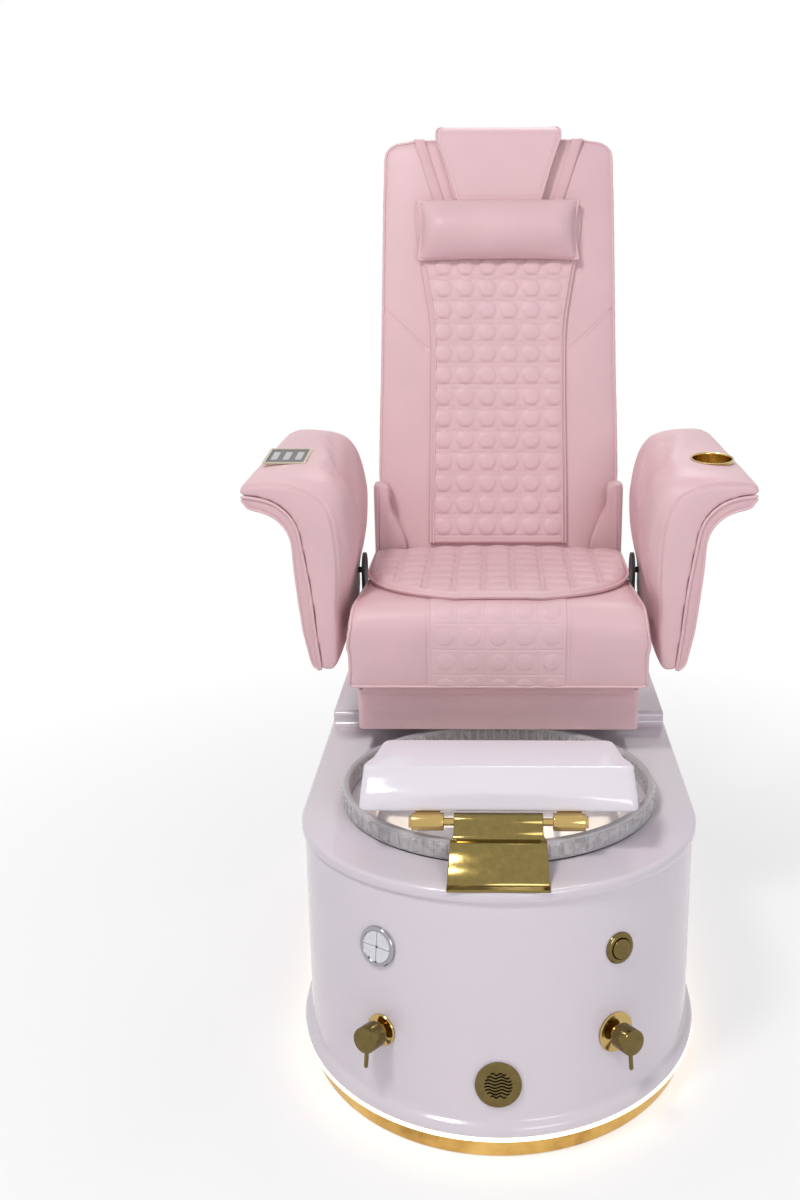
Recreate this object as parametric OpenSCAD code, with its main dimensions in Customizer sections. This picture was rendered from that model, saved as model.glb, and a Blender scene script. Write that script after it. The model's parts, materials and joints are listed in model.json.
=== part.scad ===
// Pedicure spa chair: a foot bath with a glass bowl, and a reclining chair on a slide above it.
// Millimetres, +Z up, the chair faces -Y. The origin is on the floor under the middle of the whole chair.

/* [Tub] */
// Half the width of the drum across its straight sides
tub_half_w = 323; // [300:1:345]
// Distance of the centre of the drum's front curve in front of the origin
curve_y = 300; // [285:1:320]
// Reach of the front curve under the deck
reach_top = 275; // [262:1:300]
// Reach of the front curve at the top of the skirt
reach_low = 336; // [310:1:355]
// Thickness of the drum's wall
tub_wall = 8; // [5:0.5:12]
// Distance of the tub's rear wall behind the origin
tub_rear = 438; // [430:1:480]
// Radius of the two rear corners
rear_corner_r = 60; // [30:1:90]
// Height of the gold kick base
kick_h = 36; // [20:1:60]
// How far the kick base steps in from the skirt's edge
kick_inset = 14; // [6:1:24]
// Height of the light strip
led_h = 6; // [4:0.5:10]
// Height of the rolled skirt
skirt_h = 24; // [16:1:36]
// How far the skirt stands out from the drum
skirt_out = 13; // [6:1:20]
// Height of the drum from the top of the skirt to the deck
drum_h = 327; // [300:1:360]

/* [Deck] */
// Thickness of the deck
deck_t = 20; // [14:1:28]
// How far the deck stands out past the drum
deck_over = 5; // [2:1:10]
// Height of the step behind the bowl
step_h = 27; // [18:1:40]
// Distance of the step's front behind the origin
step_y = 64; // [58:1:72]
// Radius of the step's foot and nose
step_r = 12; // [6:1:13]
// Thickness of the step's top plate
step_plate = 8; // [5:1:12]

/* [Bowl] */
// Half the width of the bowl's rim
bowl_a = 265; // [250:1:275]
// Half the length of the bowl's rim, front to back
bowl_b = 240; // [226:1:248]
// Distance of the bowl's centre in front of the origin
bowl_y = 257; // [250:1:264]
// Height of the glass above the deck
bowl_rise = 36; // [24:1:40]
// Depth of the glass below the deck
bowl_drop = 177; // [150:1:200]
// Thickness of the glass
glass_t = 12; // [8:1:16]
// Width of the shoulder that the rim rests on
shoulder = 14; // [10:1:18]
// Thickness of the rubber ring under the shoulder
gasket_t = 2; // [1:0.5:4]
// Half the distance between the drain and the pump
drain_x = 55; // [50:1:60]
// Outer radius of the drain pipe
pipe_r = 20; // [16:1:22]
// Wall of the drain pipe
pipe_wall = 4; // [2:0.5:6]
// Length of pipe that stands out behind the tub
outlet_len = 25; // [20:1:40]
// Radius of the jet pump
pump_r = 45; // [38:1:48]
// Height of the jet pump
pump_h = 80; // [60:1:95]
// Radius of the water inlet in the bowl's wall
nozzle_r = 12; // [8:1:16]

/* [Front fittings] */
// Distance of the control pad and the push button from the middle
upper_x = 183; // [165:1:200]
// Height of the control pad and the push button
upper_z = 300; // [280:1:320]
// Radius of the control pad
pad_r = 32; // [28:1:36]
// Width of the control pad's ring
pad_ring = 7; // [5:0.5:9]
// Gap between the four pad buttons
pad_gap = 1.2; // [0.8:0.1:2]
// Travel of a pad button
pad_travel = 1.5; // [0.8:0.1:2]
// Radius of the push button's ring
push_r = 25; // [21:1:29]
// Radius of the push button
push_cap_r = 16; // [13:1:18]
// Travel of the push button
push_travel = 4; // [2:0.5:5]
// Distance of the two knobs from the middle
knob_x = 178; // [160:1:200]
// Height of the two knobs
knob_z = 170; // [150:1:190]
// Radius of a knob
knob_r = 20; // [16:1:24]
// Length of a knob
knob_len = 30; // [24:1:36]
// Radius of the left cover disc
disc_left_r = 25; // [22:1:30]
// Radius of the right cover disc
disc_right_r = 31; // [26:1:36]
// Length of a knob's lever pin
lever_len = 28; // [20:1:36]
// Radius of a knob's lever pin
lever_r = 3.5; // [2.5:0.5:5]
// Height of the vent grille
vent_z = 121; // [112:1:135]
// Radius of the vent grille
vent_r = 35; // [30:1:40]
// Number of wavy slots in the vent grille
vent_slots = 8; // [5:1:10]
// Radius of the slotted middle of the vent grille
vent_field = 20; // [14:0.5:24]
// Width of a wavy slot
slot_w = 2.6; // [2:0.2:4]

/* [Footrest] */
// Distance of the footrest's hinge in front of the origin
hinge_y = 473; // [466:1:480]
// Height of the footrest's hinge above the bowl's rim
hinge_up = 25; // [23:1:34]
// Radius of the footrest's hinge rod
rod_r = 6; // [4:0.5:8]
// Outer radius of the hinge knuckles
knuckle_r = 13.5; // [11:0.5:16]
// Length of a hinge knuckle
knuckle_len = 50; // [35:1:60]
// Distance of a knuckle's inner end from the middle
knuckle_x = 83; // [79:1:95]
// Width of the bracket at the hinge
bracket_top_w = 136; // [120:1:144]
// Width of the bracket at the deck
bracket_low_w = 152; // [130:1:180]
// Thickness of the bracket's sheet
bracket_t = 4; // [3:0.5:6]
// Width of the footrest at its front foot
rest_w = 430; // [380:1:470]
// Width of the footrest's top at its back
rest_back_w = 372; // [300:1:390]
// Depth of the footrest's foot
rest_depth = 160; // [140:1:180]
// Height of the footrest block
rest_h = 58; // [48:1:70]
// How far the footrest's front face leans back
rest_lean = 36; // [20:1:50]
// Corner radius of the footrest's plan
rest_r = 12; // [8:1:24]

/* [Seat] */
// Height of the seat frame above the step
seat_lift = 70; // [60:1:80]
// Width of the seat cushion at its front
seat_w = 542; // [530:1:548]
// Width of the seat cushion at its back
seat_back_w = 480; // [470:1:490]
// Distance of the seat cushion's front in front of the origin
seat_front = 122; // [110:1:130]
// Thickness of the seat cushion
seat_t = 155; // [130:1:175]
// Radius of the seat cushion's front edge
seat_nose_r = 46; // [30:1:60]
// Crown of the seat cushion
seat_crown = 8; // [4:1:14]
// Thickness of the seat pan
pan_t = 18; // [12:1:24]
// Side of the seat frame's tubes
seat_tube = 24; // [20:1:30]
// Width of the apron
apron_w = 514; // [508:1:518]
// Distance of the apron's front in front of the origin
apron_front = 77; // [70:1:84]
// Height of the apron's lower edge above the step
apron_gap = 21; // [19:1:30]
// Thickness of the apron's board
apron_t = 6; // [4:1:9]
// Half the width of the quilted topper
topper_a = 250; // [230:1:256]
// Length of the quilted topper
topper_len = 350; // [320:1:360]
// Thickness of the quilted topper
topper_t = 15; // [12:1:22]

/* [Slide] */
// Half the distance between the two slide rails
rail_x = 180; // [160:1:186]
// Width of a slide rail
rail_w = 40; // [30:1:46]
// Height of a slide rail
rail_h = 24; // [18:1:30]
// Length of a slide rail
rail_len = 340; // [325:1:345]
// Travel of the seat along its rails
slide_travel = 100; // [60:1:104]
// Clearance round the rails
slide_clear = 0.3; // [0.2:0.1:0.5]
// Radius of the slide drive's rod
drive_rod_r = 6; // [4:0.5:8]

/* [Backrest] */
// Distance of the backrest's foot behind the origin
back_y = 306; // [302:1:312]
// Lean of the backrest from upright
back_lean = 15; // [10:1:18]
// Length of the backrest above the seat
back_len = 841; // [780:1:880]
// Width of the backrest at its widest, above the armrests
back_w = 500; // [480:1:502]
// Width of the backrest at its top
back_top_w = 476; // [450:1:490]
// Width of the backrest at its foot
back_foot_w = 400; // [380:1:420]
// Height above the seat where the backrest is widest
waist_u = 150; // [130:1:170]
// Thickness of the backrest cushion
back_cushion_t = 75; // [65:1:85]
// Depth of the rear cover behind the cushion
cover_d = 53; // [48:1:60]
// Thickness of the rear cover's wall
cover_t = 6; // [4:1:8]
// Radius of the backrest's top corners
back_corner_r = 34; // [20:1:44]
// Side of the backrest frame's tubes
back_tube = 28; // [22:1:32]
// Half the distance between the backrest frame's uprights
upright_x = 165; // [150:1:180]
// Depth of the recline hinge behind the backrest's front face
recline_v = 90; // [89:1:96]
// Distance of the recline hinge below the seat's surface, along the backrest
recline_u = 100; // [90:1:108]
// Radius of the recline hinge shaft
shaft_r = 8; // [6:0.5:10]
// Width of the quilted mat at its top
mat_top_w = 340; // [320:1:350]
// Width of the quilted mat at its waist
mat_waist_w = 276; // [260:1:290]
// Thickness of the quilted mat
mat_t = 13; // [10:1:18]
// Number of quilted domes across the mat
dome_cols = 6; // [4:1:8]
// Number of quilted domes up the mat
dome_rows = 12; // [8:1:16]

/* [Head] */
// Width of the pillow
pillow_w = 332; // [300:1:350]
// Height of the pillow
pillow_h = 122; // [105:1:140]
// Thickness of the pillow
pillow_t = 62; // [45:1:75]
// Distance of the pillow's lower edge above the seat, along the backrest
pillow_u = 590; // [570:1:610]
// Width of the head flap at its lower edge
flap_low_w = 176; // [150:1:190]
// Width of the head flap at the top of the backrest
flap_top_w = 258; // [230:1:270]
// Thickness of the head flap
flap_t = 18; // [12:1:24]
// Height of the head flap's roll above the backrest
flap_roll = 30; // [20:1:40]
// Width of a pillow strap
strap_w = 28; // [20:1:34]
// Thickness of a pillow strap
strap_t = 2.5; // [2:0.5:4]

/* [Armrests] */
// Distance of an armrest's inner face from the middle, above the seat
arm_in = 262; // [259:1:268]
// Distance of an armrest's inner face from the middle, beside the seat
arm_low_in = 284; // [282:1:290]
// Distance of the tray's outer edge from the middle
arm_out = 454; // [440:1:470]
// Distance of an armrest's front in front of the origin
arm_front = 93; // [85:1:100]
// Length of an armrest
arm_len = 372; // [350:1:376]
// Height of the tray's front edge above the seat
arm_top = 206; // [190:1:225]
// Rise of the tray from front to back
arm_rise = 38; // [20:1:50]
// Depth of an armrest's foot below the seat
arm_drop = 134; // [120:1:145]
// Thickness of an armrest's outer shell
arm_shell_t = 25; // [18:1:30]
// Distance of the armrest's pivot behind the origin
pivot_y = 208; // [200:1:215]
// Depth of the armrest's pivot below the seat
pivot_drop = 23; // [20:1:30]
// Radius of the armrest's pivot pin
pin_r = 6; // [5:0.5:8]
// Radius of the cup holder's well
cup_r = 35; // [32:0.5:38]
// Depth of the cup holder's well
cup_depth = 42; // [34:1:44]
// Distance of the cup holder and the remote panel from the middle
tray_x = 386; // [378:1:394]
// Distance of the cup holder behind the armrest's front
cup_back = 122; // [100:1:150]
// Distance of the remote panel behind the armrest's front
remote_back = 142; // [120:1:160]
// Width of the remote panel
remote_w = 80; // [70:1:88]
// Length of the remote panel
remote_len = 100; // [85:1:110]

/* [Service] */
// Width of the rear service panel
panel_w = 420; // [380:1:460]
// Height of the rear service panel
panel_h = 220; // [200:1:260]
// Height of the service panel's lower edge
panel_z = 76; // [70:1:90]
// Radius of a water inlet
inlet_r = 10.5; // [8:0.5:13]
// Length of a water inlet's thread
inlet_len = 20; // [14:1:28]
// Height of the water inlets
inlet_z = 165; // [155:1:185]
// Distance of the nearer water inlet from the middle
inlet_x = 70; // [55:1:85]
// Distance between the two water inlets
inlet_gap = 60; // [50:1:70]
// Side of the inner frame's tubes
frame_tube = 30; // [24:1:34]

/* [Hidden] */

white = [0.93, 0.92, 0.95];
pink = [0.86, 0.70, 0.74];
gold = [0.85, 0.65, 0.28];
steel = [0.62, 0.63, 0.66];
dark = [0.18, 0.18, 0.20];
glass = [0.80, 0.90, 0.92, 0.5];

// Small clearances: soft pieces to their neighbours, a running fit, a loose hole
soft_gap = 0.3;
run_gap = 0.05;
hole_gap = 0.3;

// Heights, from the floor up
skirt_z = kick_h + led_h;
drum_z = skirt_z + skirt_h;
deck_z = drum_z + drum_h;
deck_top = deck_z + deck_t;
step_top = deck_top + step_h;
rim_z = deck_top + bowl_rise;
shoulder_z = deck_top + gasket_t;
bowl_z = deck_top - bowl_drop;
apron_z = step_top + apron_gap;
frame_z = step_top + seat_lift;
foot_t = 6;
pan_z = frame_z + seat_tube + foot_t;
cushion_z = pan_z + pan_t;
seat_z = cushion_z + seat_t;

// ---------------------------------------------------------------- helpers

// Closed solid through a list of rings, each with as many points; capped at both ends
module loft(rings) {
  n = len(rings[0]);
  m = len(rings);
  sides = [for (k = [0 : m - 2], i = [0 : n - 1]) each [
    [k * n + i, (k + 1) * n + i, (k + 1) * n + (i + 1) % n],
    [k * n + i, (k + 1) * n + (i + 1) % n, k * n + (i + 1) % n]]];
  caps = [[for (i = [0 : n - 1]) i], [for (i = [n - 1 : -1 : 0]) (m - 1) * n + i]];
  polyhedron(points = [for (r = rings) each r], faces = concat(sides, caps), convexity = 8);
}

// Closed tube wall: the rings run up the outside and down the inside, back to the first
module wall_loft(rings) {
  n = len(rings[0]);
  m = len(rings);
  polyhedron(points = [for (r = rings) each r], convexity = 8,
    faces = [for (k = [0 : m - 1], i = [0 : n - 1]) let (a = k * n, b = ((k + 1) % m) * n) each [
      [a + i, b + i, b + (i + 1) % n], [a + i, b + (i + 1) % n, a + (i + 1) % n]]]);
}

// Pad between two grids of points, top[j][i] over low[j][i], i along +X and j along +Y seen from above
module grid_pad(top, low) {
  nj = len(top);
  ni = len(top[0]);
  n = nj * ni;
  rim = concat([for (i = [0 : ni - 1]) i], [for (j = [1 : nj - 1]) j * ni + ni - 1],
    [for (i = [ni - 2 : -1 : 0]) (nj - 1) * ni + i], [for (j = [nj - 2 : -1 : 1]) j * ni]);
  nr = len(rim);
  faces = [for (j = [0 : nj - 2], i = [0 : ni - 2]) let (a = j * ni + i, b = a + ni) each [
    [a, b, b + 1], [a, b + 1, a + 1], [n + a, n + b + 1, n + b], [n + a, n + a + 1, n + b + 1]]];
  side = [for (k = [0 : nr - 1]) let (a = rim[k], b = rim[(k + 1) % nr]) each [
    [a, b, n + b], [a, n + b, n + a]]];
  polyhedron(points = concat([for (row = top) each row], [for (row = low) each row]),
    faces = concat(faces, side), convexity = 6);
}

function mix(a, b, t) = a + (b - a) * t;
function ease(t) = let (c = max(0, min(1, t))) c * c * (3 - 2 * c);
function round_end(t) = sqrt(max(0, 1 - pow(1 - max(0, min(1, t)), 2)));
function mix_rings(p, q, t) = [for (i = [0 : len(p) - 1]) mix(p[i], q[i], t)];

// Ellipse in the XY plane, at height z
function oval(a, b, cy, z, n) = [for (i = [0 : n - 1]) [a * cos(360 * i / n), cy + b * sin(360 * i / n), z]];

// Outline of the tub: half an ellipse in front, straight sides, round rear corners
function tub_ring(a, b, rear, rc, z) = concat(
  [for (i = [0 : 48]) let (t = 180 + 180 * i / 48) [a * cos(t), -curve_y + b * sin(t), z]],
  [for (i = [0 : 8]) let (t = 90 * i / 8) [a - rc + rc * cos(t), rear - rc + rc * sin(t), z]],
  [for (i = [0 : 8]) let (t = 90 + 90 * i / 8) [rc - a + rc * cos(t), rear - rc + rc * sin(t), z]]);
function flat(ring) = [for (p = ring) [p[0], p[1]]];

// Reach of the drum's front curve at height z, and how fast it falls with z
reach_slope = (reach_low - reach_top) / drum_h;
function reach(z) = reach_top + reach_slope * (deck_z - z);
function wall_y(x, z) = -curve_y - reach(z) * sqrt(1 - pow(x / tub_half_w, 2));

// Puts a fitting on the drum's wall: children look out along +Z, with +Y upwards
module on_wall(x, z) {
  r = reach(z);
  dy = wall_y(x, z) + curve_y;
  n = [x / pow(tub_half_w, 2), dy / pow(r, 2), pow(dy, 2) * reach_slope / pow(r, 3)];
  translate([x, wall_y(x, z), z])
    rotate([0, acos(n[2] / norm(n)), atan2(n[1], n[0])])
      rotate([0, 0, 90]) children();
}

module tube_x(r, len) rotate([0, 90, 0]) cylinder(r = r, h = len, center = true, $fn = 64);
module tube_y(r, y0, y1) translate([0, y0, 0]) rotate([-90, 0, 0]) cylinder(r = r, h = y1 - y0, $fn = 64);
module both() {
  children();
  mirror([1, 0, 0]) children();
}
module box(x0, x1, y0, y1, z0, z1) translate([x0, y0, z0]) cube([x1 - x0, y1 - y0, z1 - z0]);

// ---------------------------------------------------------------- tub

skirt_a = tub_half_w + skirt_out;
skirt_b = reach_low + skirt_out;

module kick_base() color(gold)
  linear_extrude(kick_h) polygon(flat(tub_ring(skirt_a - kick_inset, skirt_b - kick_inset,
    tub_rear - 1, rear_corner_r, 0)));

led_t = 18;
module led_strip() color([1, 0.95, 0.82])
  translate([0, 0, kick_h]) linear_extrude(led_h) difference() {
    polygon(flat(tub_ring(skirt_a, skirt_b, tub_rear - 1, rear_corner_r, 0)));
    polygon(flat(tub_ring(skirt_a - led_t, skirt_b - led_t, tub_rear - 1 - led_t, rear_corner_r - led_t, 0)));
  }

// Height and outward step of the rings that roll the skirt
skirt_roll = [[0, 0.85], [0.12, 1], [0.35, 0.98], [0.62, 0.8], [0.82, 0.4], [1, 0]];
function drum_ring(inset, out, z) = tub_ring(tub_half_w - inset + out, reach(z) - inset + out,
  tub_rear - inset, rear_corner_r - inset, z);
function skirt_ring(inset, k) = let (z = skirt_z + skirt_h * skirt_roll[k][0], out = skirt_out * skirt_roll[k][1])
  tub_ring(tub_half_w - inset + out, reach_low - inset + out, tub_rear - inset, rear_corner_r - inset, z);

module tub_shell() color(white) difference() {
  wall_loft(concat(
    [for (k = [0 : 5]) skirt_ring(0, k)],
    [for (t = [0.34, 0.67, 1]) drum_ring(0, 0, mix(drum_z, deck_z, t))],
    [for (t = [1, 0.5]) drum_ring(tub_wall, 0, mix(drum_z, deck_z, t))],
    [for (k = [5 : -1 : 0]) skirt_ring(tub_wall, k)]));
  on_wall(-upper_x, upper_z) cylinder(r = pad_body_r + hole_gap, h = 80, center = true, $fn = 64);
  on_wall(upper_x, upper_z) cylinder(r = push_body_r + hole_gap, h = 80, center = true, $fn = 64);
  for (s = [-1, 1]) on_wall(s * knob_x, knob_z)
    cylinder(r = valve_r + hole_gap, h = 80, center = true, $fn = 64);
  on_wall(0, vent_z) cylinder(r = vent_r - vent_lip + hole_gap, h = 80, center = true, $fn = 64);
  box(-panel_w / 2 - hole_gap, panel_w / 2 + hole_gap, tub_rear - 30, tub_rear + 10,
    panel_z - hole_gap, panel_z + panel_h + hole_gap);
}

opening_a = bowl_a - shoulder;
opening_b = bowl_b - shoulder;

// Side view of the step: a round foot, a short face and a round nose
function step_side() = concat(
  [[tub_rear + 10, deck_z], [tub_rear + 10, step_top]],
  [for (i = [0 : 8]) let (t = 90 + 90 * i / 8)
    [step_y + step_r + step_r * cos(t), step_top - step_r + step_r * sin(t)]],
  [for (i = [0 : 8]) let (t = -90 * i / 8)
    [step_y - step_r + step_r * cos(t), deck_top + step_r + step_r * sin(t)]],
  [[step_y - step_r, deck_z]]);

module tub_deck() color(white) difference() {
  union() {
    translate([0, 0, deck_z]) linear_extrude(deck_t)
      polygon(flat(tub_ring(tub_half_w + deck_over, reach_top + deck_over, tub_rear, rear_corner_r, 0)));
    intersection() {
      rotate([90, 0, 90]) translate([0, 0, -tub_half_w]) linear_extrude(2 * tub_half_w) polygon(step_side());
      linear_extrude(step_top)
        polygon(flat(tub_ring(tub_half_w, reach_top, tub_rear, rear_corner_r, 0)));
    }
  }
  translate([0, 0, deck_z - 10]) linear_extrude(deck_t + 20)
    polygon(flat(oval(opening_a, opening_b, -bowl_y, 0, 96)));
  box(-tub_half_w + 13, tub_half_w - 13, step_y + 14, tub_rear - 14, deck_z - 1, step_top - step_plate);
}

frame_x = tub_half_w - tub_wall - 15;
frame_y0 = step_y + 16;
frame_y1 = tub_rear - 30;
frame_top = step_top - step_plate;
module inner_frame() color(steel) {
  t = frame_tube;
  both() {
    for (y = [frame_y0, frame_y1 - t]) box(frame_x - t, frame_x, y, y + t, kick_h, frame_top);
    box(frame_x - t, frame_x, frame_y0 + t, frame_y1 - t, frame_top - t, frame_top);
    box(frame_x - t, frame_x, frame_y0 + t, frame_y1 - t, kick_h, kick_h + t);
  }
  for (y = [frame_y0, frame_y1 - t]) {
    box(-frame_x + t, frame_x - t, y, y + t, frame_top - t, frame_top);
    box(-frame_x + t, frame_x - t, y, y + t, kick_h, kick_h + 10);
  }
}

// ---------------------------------------------------------------- bowl and plumbing

// Share of the full size and of the depth along the bowl's side, from floor to shoulder
bowl_side = [[0.46, 0], [0.60, 0.03], [0.74, 0.11], [0.85, 0.26], [0.92, 0.45], [0.97, 0.68], [1, 1]];
module glass_bowl() color(glass) difference() {
  a = opening_a - soft_gap;
  b = opening_b - soft_gap;
  loft(concat(
    [for (s = bowl_side) oval(a * s[0], b * s[0], -bowl_y, mix(bowl_z, shoulder_z, s[1]), 72)],
    [oval(bowl_a - 2, bowl_b - 2, -bowl_y, shoulder_z, 72), oval(bowl_a, bowl_b, -bowl_y, rim_z - 3, 72),
     oval(bowl_a - 2, bowl_b - 2, -bowl_y, rim_z, 72), oval(bowl_a - glass_t, bowl_b - glass_t, -bowl_y, rim_z, 72),
     oval(bowl_a - glass_t - 1, bowl_b - glass_t - 1, -bowl_y, shoulder_z, 72)],
    [for (k = [6 : -1 : 0]) let (s = bowl_side[k])
      oval(a * s[0] - glass_t, b * s[0] - glass_t, -bowl_y,
        mix(bowl_z + glass_t, shoulder_z - 2, s[1]), 72)]));
  translate([-drain_x, -bowl_y, bowl_z - 1]) cylinder(r = pipe_r + hole_gap, h = glass_t + 2, $fn = 64);
  at_nozzle() cylinder(r = nozzle_r + hole_gap, h = 80, center = true, $fn = 48);
}

module bowl_gasket() color(dark) translate([0, 0, deck_top]) linear_extrude(gasket_t) difference() {
  polygon(flat(oval(bowl_a - 3, bowl_b - 3, -bowl_y, 0, 96)));
  polygon(flat(oval(opening_a + 1, opening_b + 1, -bowl_y, 0, 96)));
}

drain_len = 46;
module bowl_drain() color(gold) translate([-drain_x, -bowl_y, 0]) difference() {
  union() {
    translate([0, 0, bowl_z - drain_len]) cylinder(r = pipe_r, h = drain_len + glass_t, $fn = 64);
    translate([0, 0, bowl_z + glass_t]) cylinder(r = pipe_r + 9, h = 3, $fn = 64);
    translate([0, 0, bowl_z - 8]) cylinder(r = pipe_r + 8, h = 7.5, $fn = 64);
  }
  translate([0, 0, bowl_z - drain_len - 1]) cylinder(r = pipe_r - pipe_wall, h = drain_len + glass_t, $fn = 64);
  for (k = [0 : 5]) rotate([0, 0, 60 * k]) translate([9, 0, bowl_z + glass_t - 2]) cylinder(r = 3, h = 8, $fn = 32);
  translate([0, 0, bowl_z + glass_t - 2]) cylinder(r = 3, h = 8, $fn = 32);
}

pipe_z = panel_z + pipe_r + 10;
module pipe_run(r, extra) {
  top = bowl_z - drain_len;
  translate([-drain_x, -bowl_y, pipe_z]) {
    cylinder(r = r, h = top - pipe_z + extra, $fn = 64);
    sphere(r = r, $fn = 64);
    tube_y(r, 0, tub_rear + bowl_y + outlet_len + extra);
  }
}
module drain_pipe() color(white) difference() {
  union() {
    pipe_run(pipe_r, 0);
    translate([-drain_x, tub_rear - tub_wall - 20, pipe_z]) tube_y(pipe_r + 6, 0, 19.5);
  }
  pipe_run(pipe_r - pipe_wall, 1);
}

module jet_pump() color(dark) translate([drain_x, -bowl_y, bowl_z - pump_h]) {
  cylinder(r = pump_r - 5, h = pump_h - 12, $fn = 64);
  translate([0, 0, pump_h - 12]) cylinder(r = pump_r, h = 12, $fn = 64);
  translate([pump_r - 12, -14, 14]) cube([24, 28, 34]);
}

nozzle_turn = 212;
nozzle_z = mix(bowl_z, shoulder_z, 0.72);
module at_nozzle() translate([0, -bowl_y, nozzle_z]) rotate([0, 0, nozzle_turn])
  translate([mix(opening_a, opening_b, 0.3) * 0.975 - glass_t / 2, 0, 0]) rotate([0, -90, 0]) children();
module bowl_inlet() color(gold) at_nozzle() difference() {
  union() {
    translate([0, 0, -26]) cylinder(r = nozzle_r, h = 26 + glass_t / 2 + 8, $fn = 48);
    translate([0, 0, glass_t / 2 + 6.6]) cylinder(r = nozzle_r + 5, h = 3.4, $fn = 48);
  }
  translate([0, 0, -27]) cylinder(r = nozzle_r - 4, h = 45, $fn = 48);
}

// Water runs from the inlets to the mixer, and from there to the left valve
hose_r = 7;
module hose(points) for (i = [0 : len(points) - 2]) {
  d = points[i + 1] - points[i];
  translate(points[i]) rotate([0, acos(d[2] / norm(d)), atan2(d[1], d[0])])
    cylinder(r = hose_r, h = norm(d), $fn = 32);
  if (i > 0) translate(points[i]) sphere(r = hose_r + 2, $fn = 32);
}
hose_back = tub_rear - tub_wall - 26;
hose_low = kick_h + 30;
module supply_hoses() color(dark) {
  valve_end = wall_y(knob_x, knob_z) + 60;
  for (k = [0, 1]) {
    x = inlet_x + k * inlet_gap;
    z = hose_low + 24 * k;
    hose([[x, hose_back, inlet_z], [x, hose_back - 30, inlet_z], [x, hose_back - 30, z],
      [x, valve_end + 40 * k, z], [knob_x, valve_end + 40 * k, z], [knob_x, valve_end + 40 * k, knob_z - 14]]);
  }
  hose([[knob_x - 20, valve_end, knob_z - 60], [-knob_x, valve_end, knob_z - 60], [-knob_x, valve_end, knob_z - 14]]);
  hose([[knob_x, valve_end, knob_z - 60], [knob_x - 30, valve_end, knob_z - 60]]);
}

module water_inlets() for (k = [0, 1]) color(k == 0 ? "steelblue" : "firebrick")
  translate([inlet_x + k * inlet_gap, 0, inlet_z]) {
    tube_y(inlet_r, tub_rear, tub_rear + 2 + inlet_len);
    tube_y(inlet_r + 2, tub_rear - tub_wall - 1, tub_rear + 2);
    tube_y(inlet_r + 5, tub_rear - tub_wall - 18, tub_rear - tub_wall - 0.5);
    tube_y(hose_r + 3, hose_back, tub_rear - tub_wall - 18);
  }

power_x = 130;
power_z = panel_z + panel_h - 60;
module rear_panel() color([0.85, 0.85, 0.87]) difference() {
  box(-panel_w / 2, panel_w / 2, tub_rear - tub_wall, tub_rear, panel_z, panel_z + panel_h);
  for (k = [0, 1]) translate([inlet_x + k * inlet_gap, 0, inlet_z])
    tube_y(inlet_r + 2.1, tub_rear - tub_wall - 1, tub_rear + 1);
  translate([-drain_x, 0, pipe_z]) tube_y(pipe_r + 1, tub_rear - tub_wall - 1, tub_rear + 1);
  box(-power_x - 14, -power_x + 14, tub_rear - tub_wall - 1, tub_rear + 1, power_z - 10, power_z + 10);
  both() for (z = [panel_z + 12, panel_z + panel_h - 12]) translate([panel_w / 2 - 12, 0, z])
    tube_y(screw_r + 0.05, tub_rear - tub_wall - 1, tub_rear + 1);
  for (k = [0 : 5]) box(20, 170, tub_rear - tub_wall - 1, tub_rear + 1,
    panel_z + panel_h - 34 - 12 * k + 2, panel_z + panel_h - 34 - 12 * k + 6);
}

screw_r = 2.5;
module panel_screws() color(steel)
  both() for (z = [panel_z + 12, panel_z + panel_h - 12]) translate([panel_w / 2 - 12, 0, z]) difference() {
    union() {
      tube_y(screw_r, tub_rear - tub_wall - 6, tub_rear);
      tube_y(5, tub_rear, tub_rear + 2.5);
    }
    translate([0, tub_rear + 1.3, 0]) rotate([-90, 0, 0]) cylinder(r = 2, h = 3, $fn = 6);
  }

module power_inlet() color(dark) translate([-power_x, 0, power_z]) difference() {
  union() {
    box(-13.8, 13.8, tub_rear - 28, tub_rear, -9.8, 9.8);
    box(-18, 18, tub_rear, tub_rear + 2.5, -14, 14);
  }
  box(-11.5, 11.5, tub_rear - 14, tub_rear + 4, -7.5, 7.5);
}

module control_box() color(dark) {
  box(-power_x - 60, -power_x + 60, frame_y0 + frame_tube, frame_y0 + frame_tube + 120, kick_h, kick_h + 34);
  box(-power_x - 50, -power_x + 50, frame_y0 + frame_tube + 10, frame_y0 + frame_tube + 110, kick_h + 34, kick_h + 60);
}

// ---------------------------------------------------------------- front fittings

vent_lip = 5;
vent_t = 4;
wave_h = 1.5;
function wave(t, w) = [(2 * t - 1) * w, wave_h * sin(720 * t)];
module wavy_slot(w) linear_extrude(20) polygon(concat(
  [for (i = [0 : 20]) wave(i / 20, w) + [0, -slot_w / 2]],
  [for (i = [20 : -1 : 0]) wave(i / 20, w) + [0, slot_w / 2]]));
module vent_grille() color(gold) on_wall(0, vent_z) difference() {
  union() {
    translate([0, 0, 0.5]) cylinder(r = vent_r, h = vent_t, $fn = 96);
    translate([0, 0, -16]) cylinder(r = vent_r - vent_lip, h = 17, $fn = 96);
  }
  translate([0, 0, -17]) cylinder(r = vent_r - vent_lip - 3, h = 17, $fn = 96);
  pitch = 2 * vent_field / vent_slots;
  for (k = [0 : vent_slots - 1]) {
    y = (k - (vent_slots - 1) / 2) * pitch;
    translate([0, y, -5]) wavy_slot(sqrt(pow(vent_field + 1, 2) - y * y));
  }
}

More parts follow.
